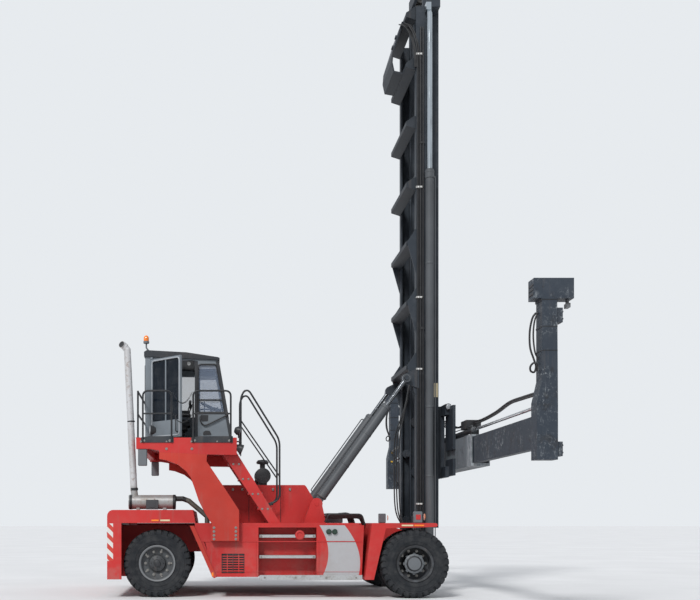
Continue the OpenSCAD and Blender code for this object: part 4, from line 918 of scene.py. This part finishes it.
class HANDLER_OT_cab_trim(bpy.types.Operator):
    """Add the cab's seat, controls, seals, wiper, lamps and beacon, and the door's edge and handles"""

    bl_idname = "handler.cab_trim"
    bl_label = "Cab trim"

    def execute(self, context):
        self.seat()
        self.controls()
        self.outside()
        self.lamps()
        self.door()
        return {"FINISHED"}

    def seat(self):
        """The cushions, their base and the arm rests with a stick on each."""
        seat = surface("seat_cushion", "cloth", [cushion((-2.40, -0.26, 3.235), (-1.92, 0.26, 3.372), 0.055)],
                       replaced=["operator_seat"])
        back = turn(cushion((-2.42, -0.25, 3.30), (-1.76, 0.25, 3.42), 0.05), -82, (-2.40, 0, 3.34))
        backrest = surface("seat_backrest", "cloth", [back])
        base = [box((-2.34, -0.20, 3.16), (-1.98, 0.20, 3.236), 0.01),
                box((-2.36, -0.23, 2.916), (-1.96, 0.23, 2.96), 0.01)]
        base += [turned((-2.16, 0, 2.95), UP, [(r * 0.025, 0.12 + 0.02 * (r % 2)) for r in range(9)])]
        surface("seat_base", "console", base)
        arms = [box((-2.30, -0.36, 3.46), (-1.92, -0.28, 3.52), 0.012),
                box((-2.28, -0.33, 3.20), (-2.22, -0.27, 3.48), 0.01)]
        stick = curve([(-1.96, -0.32, 3.51), (-1.95, -0.32, 3.56), (-1.93, -0.32, 3.62)], 4)
        knob = [(0, 0.012), (0.02, 0.024), (0.07, 0.028), (0.10, 0.02), (0.105, 0)]
        arms += [tube(stick, 0.012), turned(stick[-1], (0.15, 0, 1), knob, 16)]
        surface("arm_rests", "console", both(arms))

    def controls(self):
        """The steering wheel, the panel behind it, the screen and the pedals."""
        angle = np.linspace(0, 2 * pi, 41)
        centre, lean = np.array([-1.545, 0, 3.625]), np.array([0.44, 0, 0.90])
        across = np.array([0, 0.19, 0])
        rim = centre + np.outer(np.cos(angle), across) + np.outer(np.sin(angle), np.cross(across, lean))
        wheel = [tube(rim, 0.014)] + [tube([centre, rim[k]], 0.009, 8) for k in (7, 20, 33)]
        wheel += [turned(centre - lean * 0.02, lean, [(0, 0.03), (0.03, 0.035), (0.04, 0.02),
                                                      (0.042, 0)], 20)]
        surface("steering_wheel", "rail", wheel)
        panel = [turn(box((-1.47, -0.25, 3.555), (-1.33, 0.25, 3.58), 0.01), 20, (-1.40, 0, 3.56))]
        panel += [turned((-1.41, y, 3.580), (-0.42, 0, 0.9), [(0, 0.040), (0.012, 0.040), (0.014, 0.034)])
                  for y in (-0.16, -0.05, 0.06)]
        surface("dash_panel", "console", panel)
        surface("dash_screen", "black", [box((-1.66, 0.34, 3.60), (-1.64, 0.58, 3.78), 0.008),
                                         tube([(-1.65, 0.46, 3.60), (-1.60, 0.46, 2.93)], 0.014)])
        pedals = [turn(box((-1.70, y, 2.955), (-1.58, y + 0.08, 2.97)), -38, (-1.64, y, 2.96))
                  for y in (-0.18, 0.10)]
        surface("pedals", "black", pedals)

    def outside(self):
        """What is fixed to the cab's shell, its windows and its roof."""
        window = [(-1.757, 3.90), (-1.757, 4.345), (-1.415, 4.345), (-1.25, 3.435), (-1.757, 3.435),
                  (-1.757, 3.90)]
        light = [(-2.30, 4.345), (-1.815, 4.345), (-1.815, 3.495), (-2.636, 3.495), (-2.636, 4.345),
                 (-2.30, 4.345)]
        seals = [pipe([(x, y, z) for x, z in outline], 0.05, 0.014, 8)
                 for outline, y in ((window, -0.803), (window, 0.803), (light, 0.803))]
        rear = [(0, 4.345), (0.685, 4.345), (0.685, 3.495), (-0.685, 3.495), (-0.685, 4.345), (0, 4.345)]
        surface("window_seals", "black", seals + [pipe([(-2.764, y, z) for y, z in rear], 0.05, 0.014, 8)])
        surface("window_bars", "roof", both([box((-1.75, -0.806, 3.655), (-1.295, -0.772, 3.685))]))
        visor = [(-1.745, 4.27), (-1.40, 4.27), (-1.418, 4.338), (-1.745, 4.338)]
        surface("sun_visors", "white", both([plate(visor, -0.760, -0.752)]))
        edge = [(screen_x(z) + 0.004, s * 0.72, z)
                for s, z in ((0, 4.36), (1, 4.36), (1, 3.33), (-1, 3.33), (-1, 4.36), (0, 4.36))]
        surface("windscreen_seal", "black", [pipe(edge, 0.06, 0.016, 8, 6)])
        grab = [(-1.715, -0.806, 3.36), (-1.712, -0.822, 3.27), (-1.665, -0.828, 3.205),
                (-1.58, -0.828, 3.20), (-1.222, -0.828, 3.375), (-1.205, -0.806, 3.385)]
        upper = [(-1.71, 3.385), (-1.565, 3.385), (-1.57, 3.27), (-1.68, 3.262), (-1.71, 3.30)]
        lower = [(-1.665, 3.02), (-1.655, 3.065), (-1.62, 3.09), (-1.54, 3.085), (-1.51, 3.03),
                 (-1.515, 3.01), (-1.66, 3.005)]
        surface("cab_side_handle", "black", [hose(grab, 0.013, 7), plate(upper, -0.806, -0.7995),
                                             plate(lower, -0.810, -0.7995)])
        lamp = turned((-1.935, -0.70, 4.375), (0.1, -1, 0),
                      [(0, 0.020), (0.004, 0.034), (0.02, 0.034), (0.026, 0.02), (0.028, 0)], 20)
        surface("inside_lamp", "white", [lamp])
        wiper = [turned((screen_x(3.26) + 0.002, 0.25, 3.26), FRONT,
                        [(0, 0.03), (0.03, 0.03), (0.04, 0.02), (0.042, 0)], 16)]
        wiper += [tube([(screen_x(3.26) + 0.035, 0.25, 3.26), (screen_x(3.85) + 0.03, 0.02, 3.85)], 0.008, 8)]
        blade = [(screen_x(z) + 0.020, 0.02 + d, z) for z, d in ((3.50, 0.12), (3.85, 0.0), (4.20, -0.12))]
        surface("wiper", "black", wiper + [tube(blade, 0.009, 6)])
        trims = [box((-2.745, -0.812, 2.862), (-1.115, -0.8, 2.93), 0.003),
                 box((-1.82, -0.808, 2.93), (-1.765, -0.8, 4.41), 0.002),
                 plate([(-1.11, 2.93), (-1.165, 2.93), (-1.425, 4.41), (-1.37, 4.41)], -0.808, -0.8)]
        surface("cab_sills", "roof", both(trims))
        rib = [(-2.70, 4.606), (-1.98, 4.568), (-1.98, 4.580), (-2.70, 4.618)]
        surface("roof_ribs", "roof", [plate(rib, y - 0.02, y + 0.02) for y in np.linspace(-0.6, 0.6, 5)])

    def lamps(self):
        """The lamps' housings and lenses, and the beacon on its bent foot."""
        x, y = -2.765, -0.42
        parts = both([box((AXLE - 0.02, -1.98, 1.34), (AXLE + 0.13, -1.87, 1.545), 0.012),
                      box((-2.81, -1.96, 2.36), (-2.65, -1.86, 2.66), 0.012)])
        parts += [turned((-2.72, y, 4.61), UP, [(0, 0.045), (0.006, 0.045), (0.01, 0.018)], 20)]
        parts += [pipe([(-2.72, y, 4.612), (-2.72, y, 4.67), (x, y, 4.72), (x, y, 4.82)], 0.02, 0.015, 12)]
        parts += [turned((x, y, 4.80), UP, [(0, 0.03), (0.006, 0.05), (0.012, 0.056), (0.05, 0.056),
                                            (0.054, 0.04)])]
        surface("lamp_housings", "housing", parts, replaced=["body_lamps"])
        lens = box((AXLE + 0.012, -1.986, 1.40), (AXLE + 0.098, -1.978, 1.49), 0.003)
        surface("deck_lenses", "red_lens", both([lens]))
        dome = [(0, 0.048), (0.02, 0.052), (0.07, 0.050), (0.10, 0.036), (0.113, 0.015), (0.115, 0)]
        surface("beacon", "orange", [turned((x, y, 4.849), UP, dome)])

    def door(self):
        """The open door's edge, pull and bars."""
        frame = [(0.42, 4.392), (0.785, 4.392), (0.785, 2.965), (0.03, 2.965), (0.03, 4.392), (0.42, 4.392)]
        surface("door_edge", "pale", [pipe([door_point(u, -0.022, z) for u, z in frame], 0.07, 0.013,
                                           10, 6)], "door")
        pull = [(0.74, -0.02, 3.02), (0.74, -0.07, 3.02), (0.74, -0.07, 3.32), (0.74, -0.02, 3.32)]
        bar = [(0.10, 0.02, 3.60), (0.10, 0.06, 3.60), (0.70, 0.06, 3.60), (0.70, 0.02, 3.60)]
        grips = [pipe([door_point(*point) for point in line], 0.03, 0.010) for line in (pull, bar)]
        grips += [tube([door_point(0.06, 0.030, 3.90), door_point(0.74, 0.030, 3.90)], 0.014)]
        surface("door_handles", "black", grips, "door")


def leaf_chain(y, foot, top, reach, centre_x):
    """A leaf chain that goes up, round its wheel and down: flat links, as long eight sided plates, laid side
    by side in a stack, each layer half a pitch from the next. A link's place follows from its length along
    the chain: a straight run, a half circle of the wheel's reach, and a straight run back."""
    pitch, stack, layer_pitch, half_thick = 0.056, 5, 0.0125, 0.0052
    rise = top - foot
    length = 2 * rise + pi * reach
    layer = np.arange(stack)
    start = (np.arange(int(length / pitch))[:, None] + 0.5 * (layer % 2)[None, :]) * pitch + pitch * 0.25
    s = np.minimum(start.ravel(), length - pitch)
    bend = np.clip((s - rise) / reach, 0, pi)
    over, down = top + reach * np.sin(bend), top - (s - rise - pi * reach)
    z = np.where(s < rise, foot + s, np.where(s > rise + pi * reach, down, over))
    middle = np.stack([centre_x - reach * np.cos(bend), np.full_like(z, y), z], -1)
    along = np.stack([np.sin(bend), 0 * bend, np.cos(bend)], -1)
    side = np.cross(along, (0, 1, 0))
    level = np.broadcast_to((layer - (stack - 1) / 2) * layer_pitch, start.shape).ravel()
    half, deep = pitch * 0.72, 0.0148
    corner = np.array([(1, 0.4), (0.7, 1), (-0.7, 1), (-1, 0.4), (-1, -0.4), (-0.7, -1),
                       (0.7, -1), (1, -0.4)])
    outline = corner * [half, deep]
    flat = middle[:, None] + along[:, None] * outline[None, :, :1] + side[:, None] * outline[None, :, 1:]
    faces = level[:, None] + np.array([-half_thick, half_thick])
    offset = faces[:, :, None, None] * np.array([0.0, 1.0, 0.0])
    points = (flat[:, None] + offset).reshape(-1, 3)
    first = (np.arange(len(middle)) * 16)[:, None]
    near = np.arange(8)
    band = np.stack([near, (near + 1) % 8, (near + 1) % 8 + 8, near + 8], -1)
    sides = (first[:, :, None] + band[None]).reshape(-1, 4)
    return points, [sides, first + near[None, ::-1], first + 8 + near[None]]


class HANDLER_OT_mast_trim(bpy.types.Operator):
    """Add the leaf chains, their wheels, the hoses and clamps, glands and bolts"""

    bl_idname = "handler.mast_trim"
    bl_label = "Mast trim"

    def execute(self, context):
        self.chains()
        self.hoses()
        self.lift_cylinders()
        self.tilt_cylinders()
        blank = box((AXLE + 0.612, -0.6905, 3.74), (AXLE + 0.688, -0.688, 4.005), 0.001)
        surface("blank_plate", "cream", [blank], "inner_mast")
        return {"FINISHED"}

    def chains(self):
        """Two leaf chains with their wheels and the blocks at their ends."""
        top, foot, reach, centre_x = 11.85, 3.735, 0.070, AXLE + 0.56
        wheel = [(0, 0.100), (0.009, 0.100), (0.012, 0.055), (0.088, 0.055), (0.091, 0.100), (0.100, 0.100)]
        chains = []
        for y in (-0.34, 0.34):
            chains += [leaf_chain(y, foot, top, reach, centre_x)]
            chains += [turned((centre_x, y - 0.05, top), LEFT, wheel, 36)]
            chains += [turned((centre_x, y - 0.075, top), LEFT, [(0, 0.03), (0.15, 0.03)], 20)]
            chains += [box((centre_x + x - 0.022, y - 0.036, foot - 0.02),
                           (centre_x + x + 0.022, y + 0.036, foot + 0.10), 0.006) for x in (-reach, reach)]
        surface("leaf_chains", "chain", chains, "inner_mast", ["lift_chains"])

    def hoses(self):
        """The hoses down the mast's right side, with their clamps, lugs and bolts."""
        hoses = []
        for k, x in enumerate((0.262, 0.292)):
            line = ahead([(x, -0.868, 1.55), (x, -0.868, 9.9), (x, -0.866, 10.25), (x - 0.05, -0.83, 10.55),
                          (x - 0.14, -0.76, 10.78), (x - 0.22, -0.70, 10.86 - 0.02 * k)])
            hoses += [tube(np.vstack([line[:1], curve(line[1:], 8)]), 0.013)]
        for k in range(3):
            x, y = -0.02 - 0.035 * k, 0.05 * k
            line = [(0.05, -0.66 + y, 1.25), (x, -0.62 + y, 1.6), (x - 0.02, -0.60 + y, 2.3),
                    (x, -0.60 + y, 3.0), (0.10, -0.60 + y, 3.6), (0.19, -0.60 + y, 4.1)]
            hoses += [hose(ahead(line), 0.013)]
        for k in range(4):
            line = [(0.215 + 0.012 * k, -0.862, 9.95), (0.205 + 0.010 * k, -0.858, 10.22),
                    (0.16 + 0.012 * k, -0.80, 10.52), (0.08 + 0.022 * k, -0.66, 10.80),
                    (-0.02 + 0.03 * k, -0.50, 10.93)]
            hoses += [hose(ahead(line), 0.010, 8, 8)]
        surface("mast_hoses", "hose", hoses, "outer_mast")
        lugs = [turned((AXLE - 0.155 + (z - 10.385) * 0.317, -0.45, z), (-0.953, 0, 0.302),
                       [(-0.01, 0.042), (0.03, 0.042), (0.036, 0.034)], 20) for z in (10.50, 10.70)]
        surface("guard_lugs", "mast", lugs, "outer_mast")
        levels = (10.19, 7.68, 5.60, 4.246, 1.70)
        clamps = [box((AXLE + 0.236, -0.895, z - 0.016), (AXLE + 0.356, -0.849, z + 0.016)) for z in levels]
        surface("hose_clamps", "white", clamps, "outer_mast")
        heads = bolts([(AXLE + x, -0.896, z) for z in levels for x in (0.248, 0.300, 0.348)],
                      RIGHT, 0.008, 0.008)
        heads += bolts([(AXLE + 0.02 + 0.115 * np.cos(a), -0.862, 0.95 + 0.085 * np.sin(a))
                        for a in np.arange(6) * pi / 3], RIGHT, 0.010, 0.010)
        surface("mast_bolts", "bolt", both(heads), "outer_mast")

    def lift_cylinders(self):
        """Glands, rings and a pipe on each lift cylinder."""
        parts = []
        gland = [(0, 0.088), (0.03, 0.088), (0.034, 0.078), (0.060, 0.078), (0.064, 0.062), (0.075, 0.058),
                 (0.078, 0.0502)]
        for s in (-1, 1):
            x, y = AXLE + 0.475, s * 0.945
            parts += [turned((x, y, 7.92), UP, gland, 32)]
            parts += [hoop((x, y, z), UP, 0.0765, 0.079, 0.004, 0.040) for z in (2.2, 3.5, 6.2)]
            line = [(x + 0.070, y + s * 0.04, 0.50), (x + 0.095, y + s * 0.05, 0.50),
                    (x + 0.095, y + s * 0.05, 7.84), (x + 0.06, y + s * 0.035, 7.84)]
            parts += [pipe(line, 0.02, 0.009, 8)]
        surface("lift_glands", "barrel", parts, "outer_mast")

    def tilt_cylinders(self):
        """Glands, rings and a pipe on each tilt cylinder, along its lean."""
        parts = []
        base, lean = np.array([AXLE - 1.654, 0, 1.70]), unit(np.array([1.692, 0, 2.36]))
        side = np.array([-lean[2], 0, lean[0]])
        gland = [(0, 0.0935), (0.004, 0.099), (0.050, 0.099), (0.055, 0.085), (0.075, 0.082), (0.078, 0.0402)]
        for s in (-1, 1):
            start = base + [0, s * 0.95, 0]
            parts += [turned(start + lean * 2.205, lean, gland, 32)]
            parts += [hoop(start + lean * 0.155, lean, 0.093, 0.098, 0.004, 0.034)]
            line = [start + lean * d + side * out
                    for d, out in ((0.30, 0.085), (0.30, 0.125), (2.12, 0.125), (2.12, 0.09))]
            parts += [pipe(line, 0.03, 0.011)]
            parts += [hoop(start + lean * d, lean, 0.094, 0.097, 0.003, 0.030, 28) for d in (0.9, 1.6)]
        surface("tilt_glands", "barrel", parts, "tilt_barrels")


class HANDLER_OT_spreader_trim(bpy.types.Operator):
    """Add the arms' hoses, bolts, louvres, bands and rods, the tube's glands and hoses, and a lamp"""

    bl_idname = "handler.spreader_trim"
    bl_label = "Spreader trim"

    def execute(self, context):
        for side, s in SIDES:
            self.arm(side, s, f"arm_{side}")
        glands = []
        for s, x in ((-1, 0.94), (1, 1.09)):
            end = [(0, 0.0455), (0.004, 0.052), (0.050, 0.052), (0.054, 0.045), (0.075, 0.040),
                   (0.078, 0.027)]
            glands += [turned((AXLE + x, s * 2.36, 2.96), (0, s, 0), end, 28)]
            end = [(-0.054, 0.030), (-0.05, 0.048), (0.02, 0.048), (0.024, 0.0455)]
            glands += [turned((AXLE + x, -s * 1.20, 2.96), (0, s, 0), end, 28)]
            glands += [pipe(ahead([(x, s * 2.28, 3.005), (x, s * 2.28, 3.045), (x, -s * 1.0, 3.045),
                                   (x, -s * 1.0, 3.005)]), 0.03, 0.009, 8)]
        surface("spread_glands", "barrel", glands, "spreader")
        loom = [hose(ahead([(1.02, -1.62, 3.08 + 0.03 * k), (1.05 - 0.03 * k, -1.1, 3.12),
                            (0.9, -0.6, 3.16 + 0.04 * k), (0.80, -0.2, 3.30)]), 0.014, 7) for k in range(4)]
        surface("spread_hoses", "hose", loom, "spreader")
        aim = (0.2, -1, -0.3)
        lamp = [turned((AXLE + 0.80, -1.045, 3.52), aim,
                       [(-0.05, 0.02), (-0.045, 0.045), (0, 0.058), (0.02, 0.06), (0.022, 0.052)], 20)]
        lamp += [tube([(AXLE + 0.80, -1.02, 3.50), (AXLE + 0.80, -1.0, 3.44)], 0.012, 8)]
        surface("carriage_lamp", "rail", lamp, "carriage")
        lens = turned((AXLE + 0.804, -1.063, 3.515), aim, [(0, 0.052), (0.008, 0.045), (0.012, 0)], 20)
        surface("carriage_lens", "lens", [lens], "carriage")
        return {"FINISHED"}

    def arm(self, side, s, body):
        """One arm's hoses, bolts, louvres, bands, loom, tape and spread rod; s is -1 on the right."""
        left = s > 0
        upper = np.array([(0.900, 5.90, 4.26), (0.85, 5.90, 4.18), (0.815, 5.90, 4.0), (0.82, 5.90, 3.78),
                          (0.87, 5.90, 3.62), (0.90, 5.90, 3.52), (0.88, 5.90, 3.44), (0.83, 5.90, 3.45),
                          (0.82, 5.91, 3.51), (0.86, 5.92, 3.56), (0.90, 5.93, 3.54), (0.925, 5.93, 3.46)])
        lower = np.array([(0.905, 5.96, 4.25), (0.86, 5.96, 4.12), (0.845, 5.96, 3.92), (0.87, 5.96, 3.70),
                          (0.925, 5.96, 3.60)])
        hoses = [hose(ahead(line * [1, s, 1]), radius, 7)
                 for line, radius in ((upper, 0.014), (lower, 0.012))]
        surface(f"lock_hoses_{side}", "hose", hoses, body)
        places = [(AXLE + 1.2205, s * y, z) for y in (5.91, 6.04) for z in (2.31, 2.41, 4.15, 4.25)]
        surface(f"arm_bolts_{side}", "rim", bolts(places, FRONT, 0.012, 0.010), body)
        slots = [turn(box((AXLE + 0.801, s * 5.88, z), (AXLE + 0.812, s * 6.07, z + 0.034), 0.003), 12,
                      (AXLE + 0.806, 0, z)) for z in (4.475, 4.535, 4.595)]
        surface(f"arm_louvres_{side}", "black", slots, body)
        bands = [box((AXLE + x0, s * 5.845, z0), (AXLE + x1, s * 6.0995, z1), edge)
                 for x0, x1, z0, z1, edge in ((0.905, 1.146, 4.385, 4.421, 0.006),
                                              (0.914, 1.136, 4.02, 4.05, 0.004),
                                              (0.914, 1.138, 3.70, 3.712, 0.003))]
        surface(f"arm_bands_{side}", "spreader", bands, body)
        line = np.array([(0.99 if left else 1.02, 2.05, 3.10), (1.03, 2.6, 3.09), (1.04, 3.4, 3.13),
                         (1.04, 4.15, 3.20), (1.0, 5.0, 3.175), (0.95, 5.84, 3.135)])
        line[:5, 0] -= 0.07 * left
        loom = [tube(curve(line * [1, s, 1] + [AXLE, 0, d], 6), 0.017) for d in (0.0, 0.03)]
        loom += [hose(ahead((line + [0.028, 0, 0.012]) * [1, s, 1]), 0.017, 6)]
        surface(f"arm_loom_{side}", "hose", loom, body)
        tape = [tube([(AXLE + x, s * 5.838, z), (AXLE + x + 0.004, s * 5.79, z - 0.004)], 0.021, 12)
                for x, z in ((0.952, 3.137), (0.945, 2.905))]
        surface(f"arm_tape_{side}", "yellow", tape, body)
        rod = turned((AXLE + (1.09 if left else 0.94), s * 5.849, 2.96), (0, -s, 0),
                     [(0, 0.05), (0.03, 0.05), (0.034, 0.0253), (3.39, 0.0253)])
        surface(f"spread_rod_{side}", "chrome_bright_reflection", [rod], body)


class HANDLER_OT_engine_trim(bpy.types.Operator):
    """Add the exhaust's clamps, the air cleaner's cap and pipe, hood seams and the deck's valves and pipes"""

    bl_idname = "handler.engine_trim"
    bl_label = "Engine trim"

    def execute(self, context):
        self.exhaust(-1.60)
        self.air_cleaner((-0.53, 2.235))
        self.hood()
        self.deck()
        return {"FINISHED"}

    def exhaust(self, y):
        """The muffler's and the stack's clamps, the bracket and the bent mouth."""
        clamps = []
        for x in (-2.985, -2.20):
            clamps += [hoop((x, y, 1.72), FRONT, 0.1285, 0.134, 0.002, 0.050, 40)]
            clamps += [box((x + 0.010, y - 0.18, 1.70), (x + 0.040, y - 0.125, 1.74), 0.006)]
        lean = (-0.047, 0, 0.999)
        clamps += [hoop((-2.902, y, 1.93), lean, 0.064, 0.069, 0.002, 0.047)]
        clamps += [hoop((-2.960, y, 3.17), lean, 0.064, 0.070, 0.002, 0.024)]
        clamps += [hoop((-2.17, y, 1.78), FRONT, 0.046, 0.050, 0.002, 0.037, 28)]
        surface("exhaust_clamps", "rail", clamps)
        bracket = [box((-2.68, y - 0.150, 1.585), (-2.46, y - 0.124, 1.76), 0.006),
                   box((-2.62, y - 0.156, 1.62), (-2.52, y - 0.149, 1.72))]
        surface("muffler_bracket", "console", bracket)
        lip = curve([(-3.055, y, 4.525), (-3.090, y - 0.004, 4.553), (-3.115, y - 0.020, 4.568),
                     (-3.130, y - 0.042, 4.576)], 6)
        surface("stack_mouth", "muffler", [tube(lip, 0.064, 28)])
        # A black disc just inside the mouth stands for the bore: its soot, and painted shade of its depth.
        bore = [(-0.004, 0.056), (0.0015, 0.056)]
        surface("stack_bore", "black", [turned(lip[-1], lip[-1] - lip[-2], bore, 28)])

    def air_cleaner(self, axis):
        """The air cleaner's cover, ring, pipe and rain cap."""
        x, z = axis
        cleaner = [turned((x, -0.815, z), LEFT, [(0, 0.06), (0.006, 0.10), (0.015, 0.148), (0.05, 0.150),
                                                 (0.055, 0.1455)], 36)]
        cleaner += [hoop((x, -0.50, z), LEFT, 0.1455, 0.152, 0.003, 0.031, 36)]
        duct = [(x, -0.345, z), (x, -0.22, z), (-0.58, -0.10, 2.20), (-0.66, -0.05, 2.06)]
        cleaner += [hose(duct, 0.055, 8, 18)]
        cleaner += [turned((x, -0.60, 2.37), UP, [(0, 0.05), (0.09, 0.05), (0.10, 0.11), (0.13, 0.12),
                                                  (0.17, 0.09), (0.185, 0)], 28)]
        surface("air_intake", "black", cleaner)

    def hood(self):
        """The hood's seams, latches and rear grille."""
        seams = [box((x, s * 0.8, 1.36), (x + 0.010, s * 0.803, 2.03), 0.001) for s in (-1, 1)
                 for x in (-0.80, -0.20)]
        seams += [box((x, -0.79, 2.0595), (x + 0.010, 0.79, 2.0625), 0.001) for x in (-0.80, -0.20)]
        surface("hood_seams", "rail", seams)
        latches = []
        for x in (-1.10, -0.92, -0.66, -0.34, -0.02):
            latches += [box((x - 0.02, -0.815, 1.95), (x + 0.02, -0.80, 2.00)),
                        turned((x, -0.815, 1.965), RIGHT, [(0, 0.012), (0.008, 0.010)], 12)]
        surface("hood_latches", "bolt", both(latches))
        slats = [turn(box((-1.38, y, z), (-1.36, y + 0.62, z + 0.03), 0.003), 28, (-1.37, y, z + 0.015))
                 for z in np.arange(1.45, 1.98, 0.05) for y in (-0.68, 0.06)]
        frame = [box((-1.377, y0, z0), (-1.361, y1, z1)) for y0, y1, z0, z1 in
                 ((-0.72, -0.70, 1.40, 2.02), (0.70, 0.72, 1.40, 2.02), (-0.72, 0.72, 2.00, 2.02),
                  (-0.72, 0.72, 1.40, 1.42), (-0.01, 0.01, 1.40, 2.02))]
        surface("hood_grille", "rail", slats + frame)

    def deck(self):
        """The valve block between the mast's feet and the hoses that leave it."""
        valve = [box((0.66, -0.50, 1.341), (1.02, 0.50, 1.46), 0.012)]
        valve += [box((0.72, -0.46 + 0.19 * k, 1.455), (0.96, -0.34 + 0.19 * k, 1.53), 0.008)
                  for k in range(5)]
        surface("main_valve", "engine", valve)
        ports = [-0.44 + 0.125 * k for k in range(8)]
        lines = [hose([(0.99, y, 1.50), (1.08, y, 1.53), (1.20, y * 0.9, 1.48), (1.27, y * 0.85, 1.30),
                       (1.29, y * 0.8, 1.12)], 0.016, 7) for y in ports]
        for k in range(4):
            y, z = -0.95 - 0.09 * k, 0.02 * k
            lines += [pipe([(0.62, y, 1.36), (0.66, y, 1.44 + z), (1.28, y, 1.44 + z), (1.34, y, 1.30)],
                           0.06, 0.017)]
            lines += [hose([(0.68, -0.46 + 0.06 * k, 1.48), (0.60, -0.60 - 0.04 * k, 1.50),
                            (0.63, y + 0.08, 1.46), (0.66, y, 1.45 + z)], 0.015, 6)]
        surface("deck_hoses", "hose", lines)
        ends = [turned((1.02, y, 1.507), REAR, [(0, 0.018), (0.05, 0.018), (0.052, 0.012)], 6) for y in ports]
        surface("hose_ends", "chrome", ends)


class HANDLER_OT_stage(bpy.types.Operator):
    """Add the floor, the lamps and the camera"""

    bl_idname = "handler.stage"
    bl_label = "Stage"

    def execute(self, context):
        stage = context.scene.handler_stage
        mesh = bpy.data.meshes.new("floor")
        reach = 400.0
        mesh.from_pydata([(-reach, -reach, 0), (reach, -reach, 0), (reach, reach, 0), (-reach, reach, 0)], [],
                         [(0, 1, 2, 3)])
        floor = bpy.data.objects.new("floor", mesh)
        context.scene.collection.objects.link(floor)
        ground = Paint("floor_pale", 0.9)
        mottle = ground.noise(0.35, 5.0, 0.6).rise(0.3, 0.8)
        mesh.materials.append(ground.finish(ground.mix(mottle, rgb(0.60, 0.60, 0.60), rgb(0.66, 0.66, 0.66))))
        world = bpy.data.worlds.new("pale_sky")
        world.use_nodes = True
        context.scene.world = world
        tree = world.node_tree
        light = tree.nodes["Background"]
        light.inputs["Color"].default_value = rgb(0.90, 0.94, 1.0)
        light.inputs["Strength"].default_value = stage.sky
        seen = tree.nodes.new("ShaderNodeBackground")
        seen.inputs["Color"].default_value = rgb(0.80, 0.83, 0.86)
        rays = tree.nodes.new("ShaderNodeLightPath")
        either = tree.nodes.new("ShaderNodeMath")
        either.operation = "MAXIMUM"
        tree.links.new(rays.outputs["Is Camera Ray"], either.inputs[0])
        tree.links.new(rays.outputs["Is Transmission Ray"], either.inputs[1])
        blend = tree.nodes.new("ShaderNodeMixShader")
        tree.links.new(either.outputs[0], blend.inputs[0])
        tree.links.new(light.outputs[0], blend.inputs[1])
        tree.links.new(seen.outputs[0], blend.inputs[2])
        tree.links.new(blend.outputs[0], tree.nodes["World Output"].inputs[0])
        sun = bpy.data.lights.new("sun", "SUN")
        sun.energy = stage.sun
        sun.angle = radians(12)
        lamp = bpy.data.objects.new("sun", sun)
        lamp.rotation_euler = (radians(48), 0, radians(-28))
        context.scene.collection.objects.link(lamp)
        data = bpy.data.cameras.new("camera")
        data.lens = stage.lens
        data.shift_x, data.shift_y = stage.shift
        data.clip_end = 1000.0
        camera = bpy.data.objects.new("camera", data)
        camera.location = stage.camera_place
        camera.rotation_euler = (pi / 2 + stage.camera_pitch, 0, -stage.camera_yaw)
        context.scene.collection.objects.link(camera)
        context.scene.camera = camera
        context.scene.view_settings.view_transform = "Standard"
        return {"FINISHED"}


OPERATORS = [HANDLER_OT_finishes, HANDLER_OT_tyres, HANDLER_OT_wheel_trim, HANDLER_OT_body_trim,
             HANDLER_OT_platform_trim, HANDLER_OT_cab_trim, HANDLER_OT_mast_trim, HANDLER_OT_spreader_trim,
             HANDLER_OT_engine_trim, HANDLER_OT_stage]


class HANDLER_PT_panel(bpy.types.Panel):
    """The truck's pieces, in the order in which they are made"""

    bl_idname = "HANDLER_PT_panel"
    bl_label = "Container handler"
    bl_space_type = "VIEW_3D"
    bl_region_type = "UI"
    bl_category = "Container handler"

    def draw(self, context):
        for group in (context.scene.handler_colours, context.scene.handler_stage):
            for key in group.__annotations__:
                self.layout.prop(group, key)
        for operator in OPERATORS:
            self.layout.operator(operator.bl_idname)


GROUPS = {"handler_colours": FinishColours, "handler_stage": StageSettings}


def register():
    for key, group in GROUPS.items():
        bpy.utils.register_class(group)
        setattr(bpy.types.Scene, key, bpy.props.PointerProperty(type=group))
    for operator in OPERATORS:
        bpy.utils.register_class(operator)
    bpy.utils.register_class(HANDLER_PT_panel)


def unregister():
    bpy.utils.unregister_class(HANDLER_PT_panel)
    for operator in reversed(OPERATORS):
        bpy.utils.unregister_class(operator)
    for key, group in GROUPS.items():
        delattr(bpy.types.Scene, key)
        bpy.utils.unregister_class(group)


def main():
    register()
    for operator in OPERATORS:
        group, name = operator.bl_idname.split(".")
        getattr(getattr(bpy.ops, group), name)()


if __name__ == "__main__":
    main()
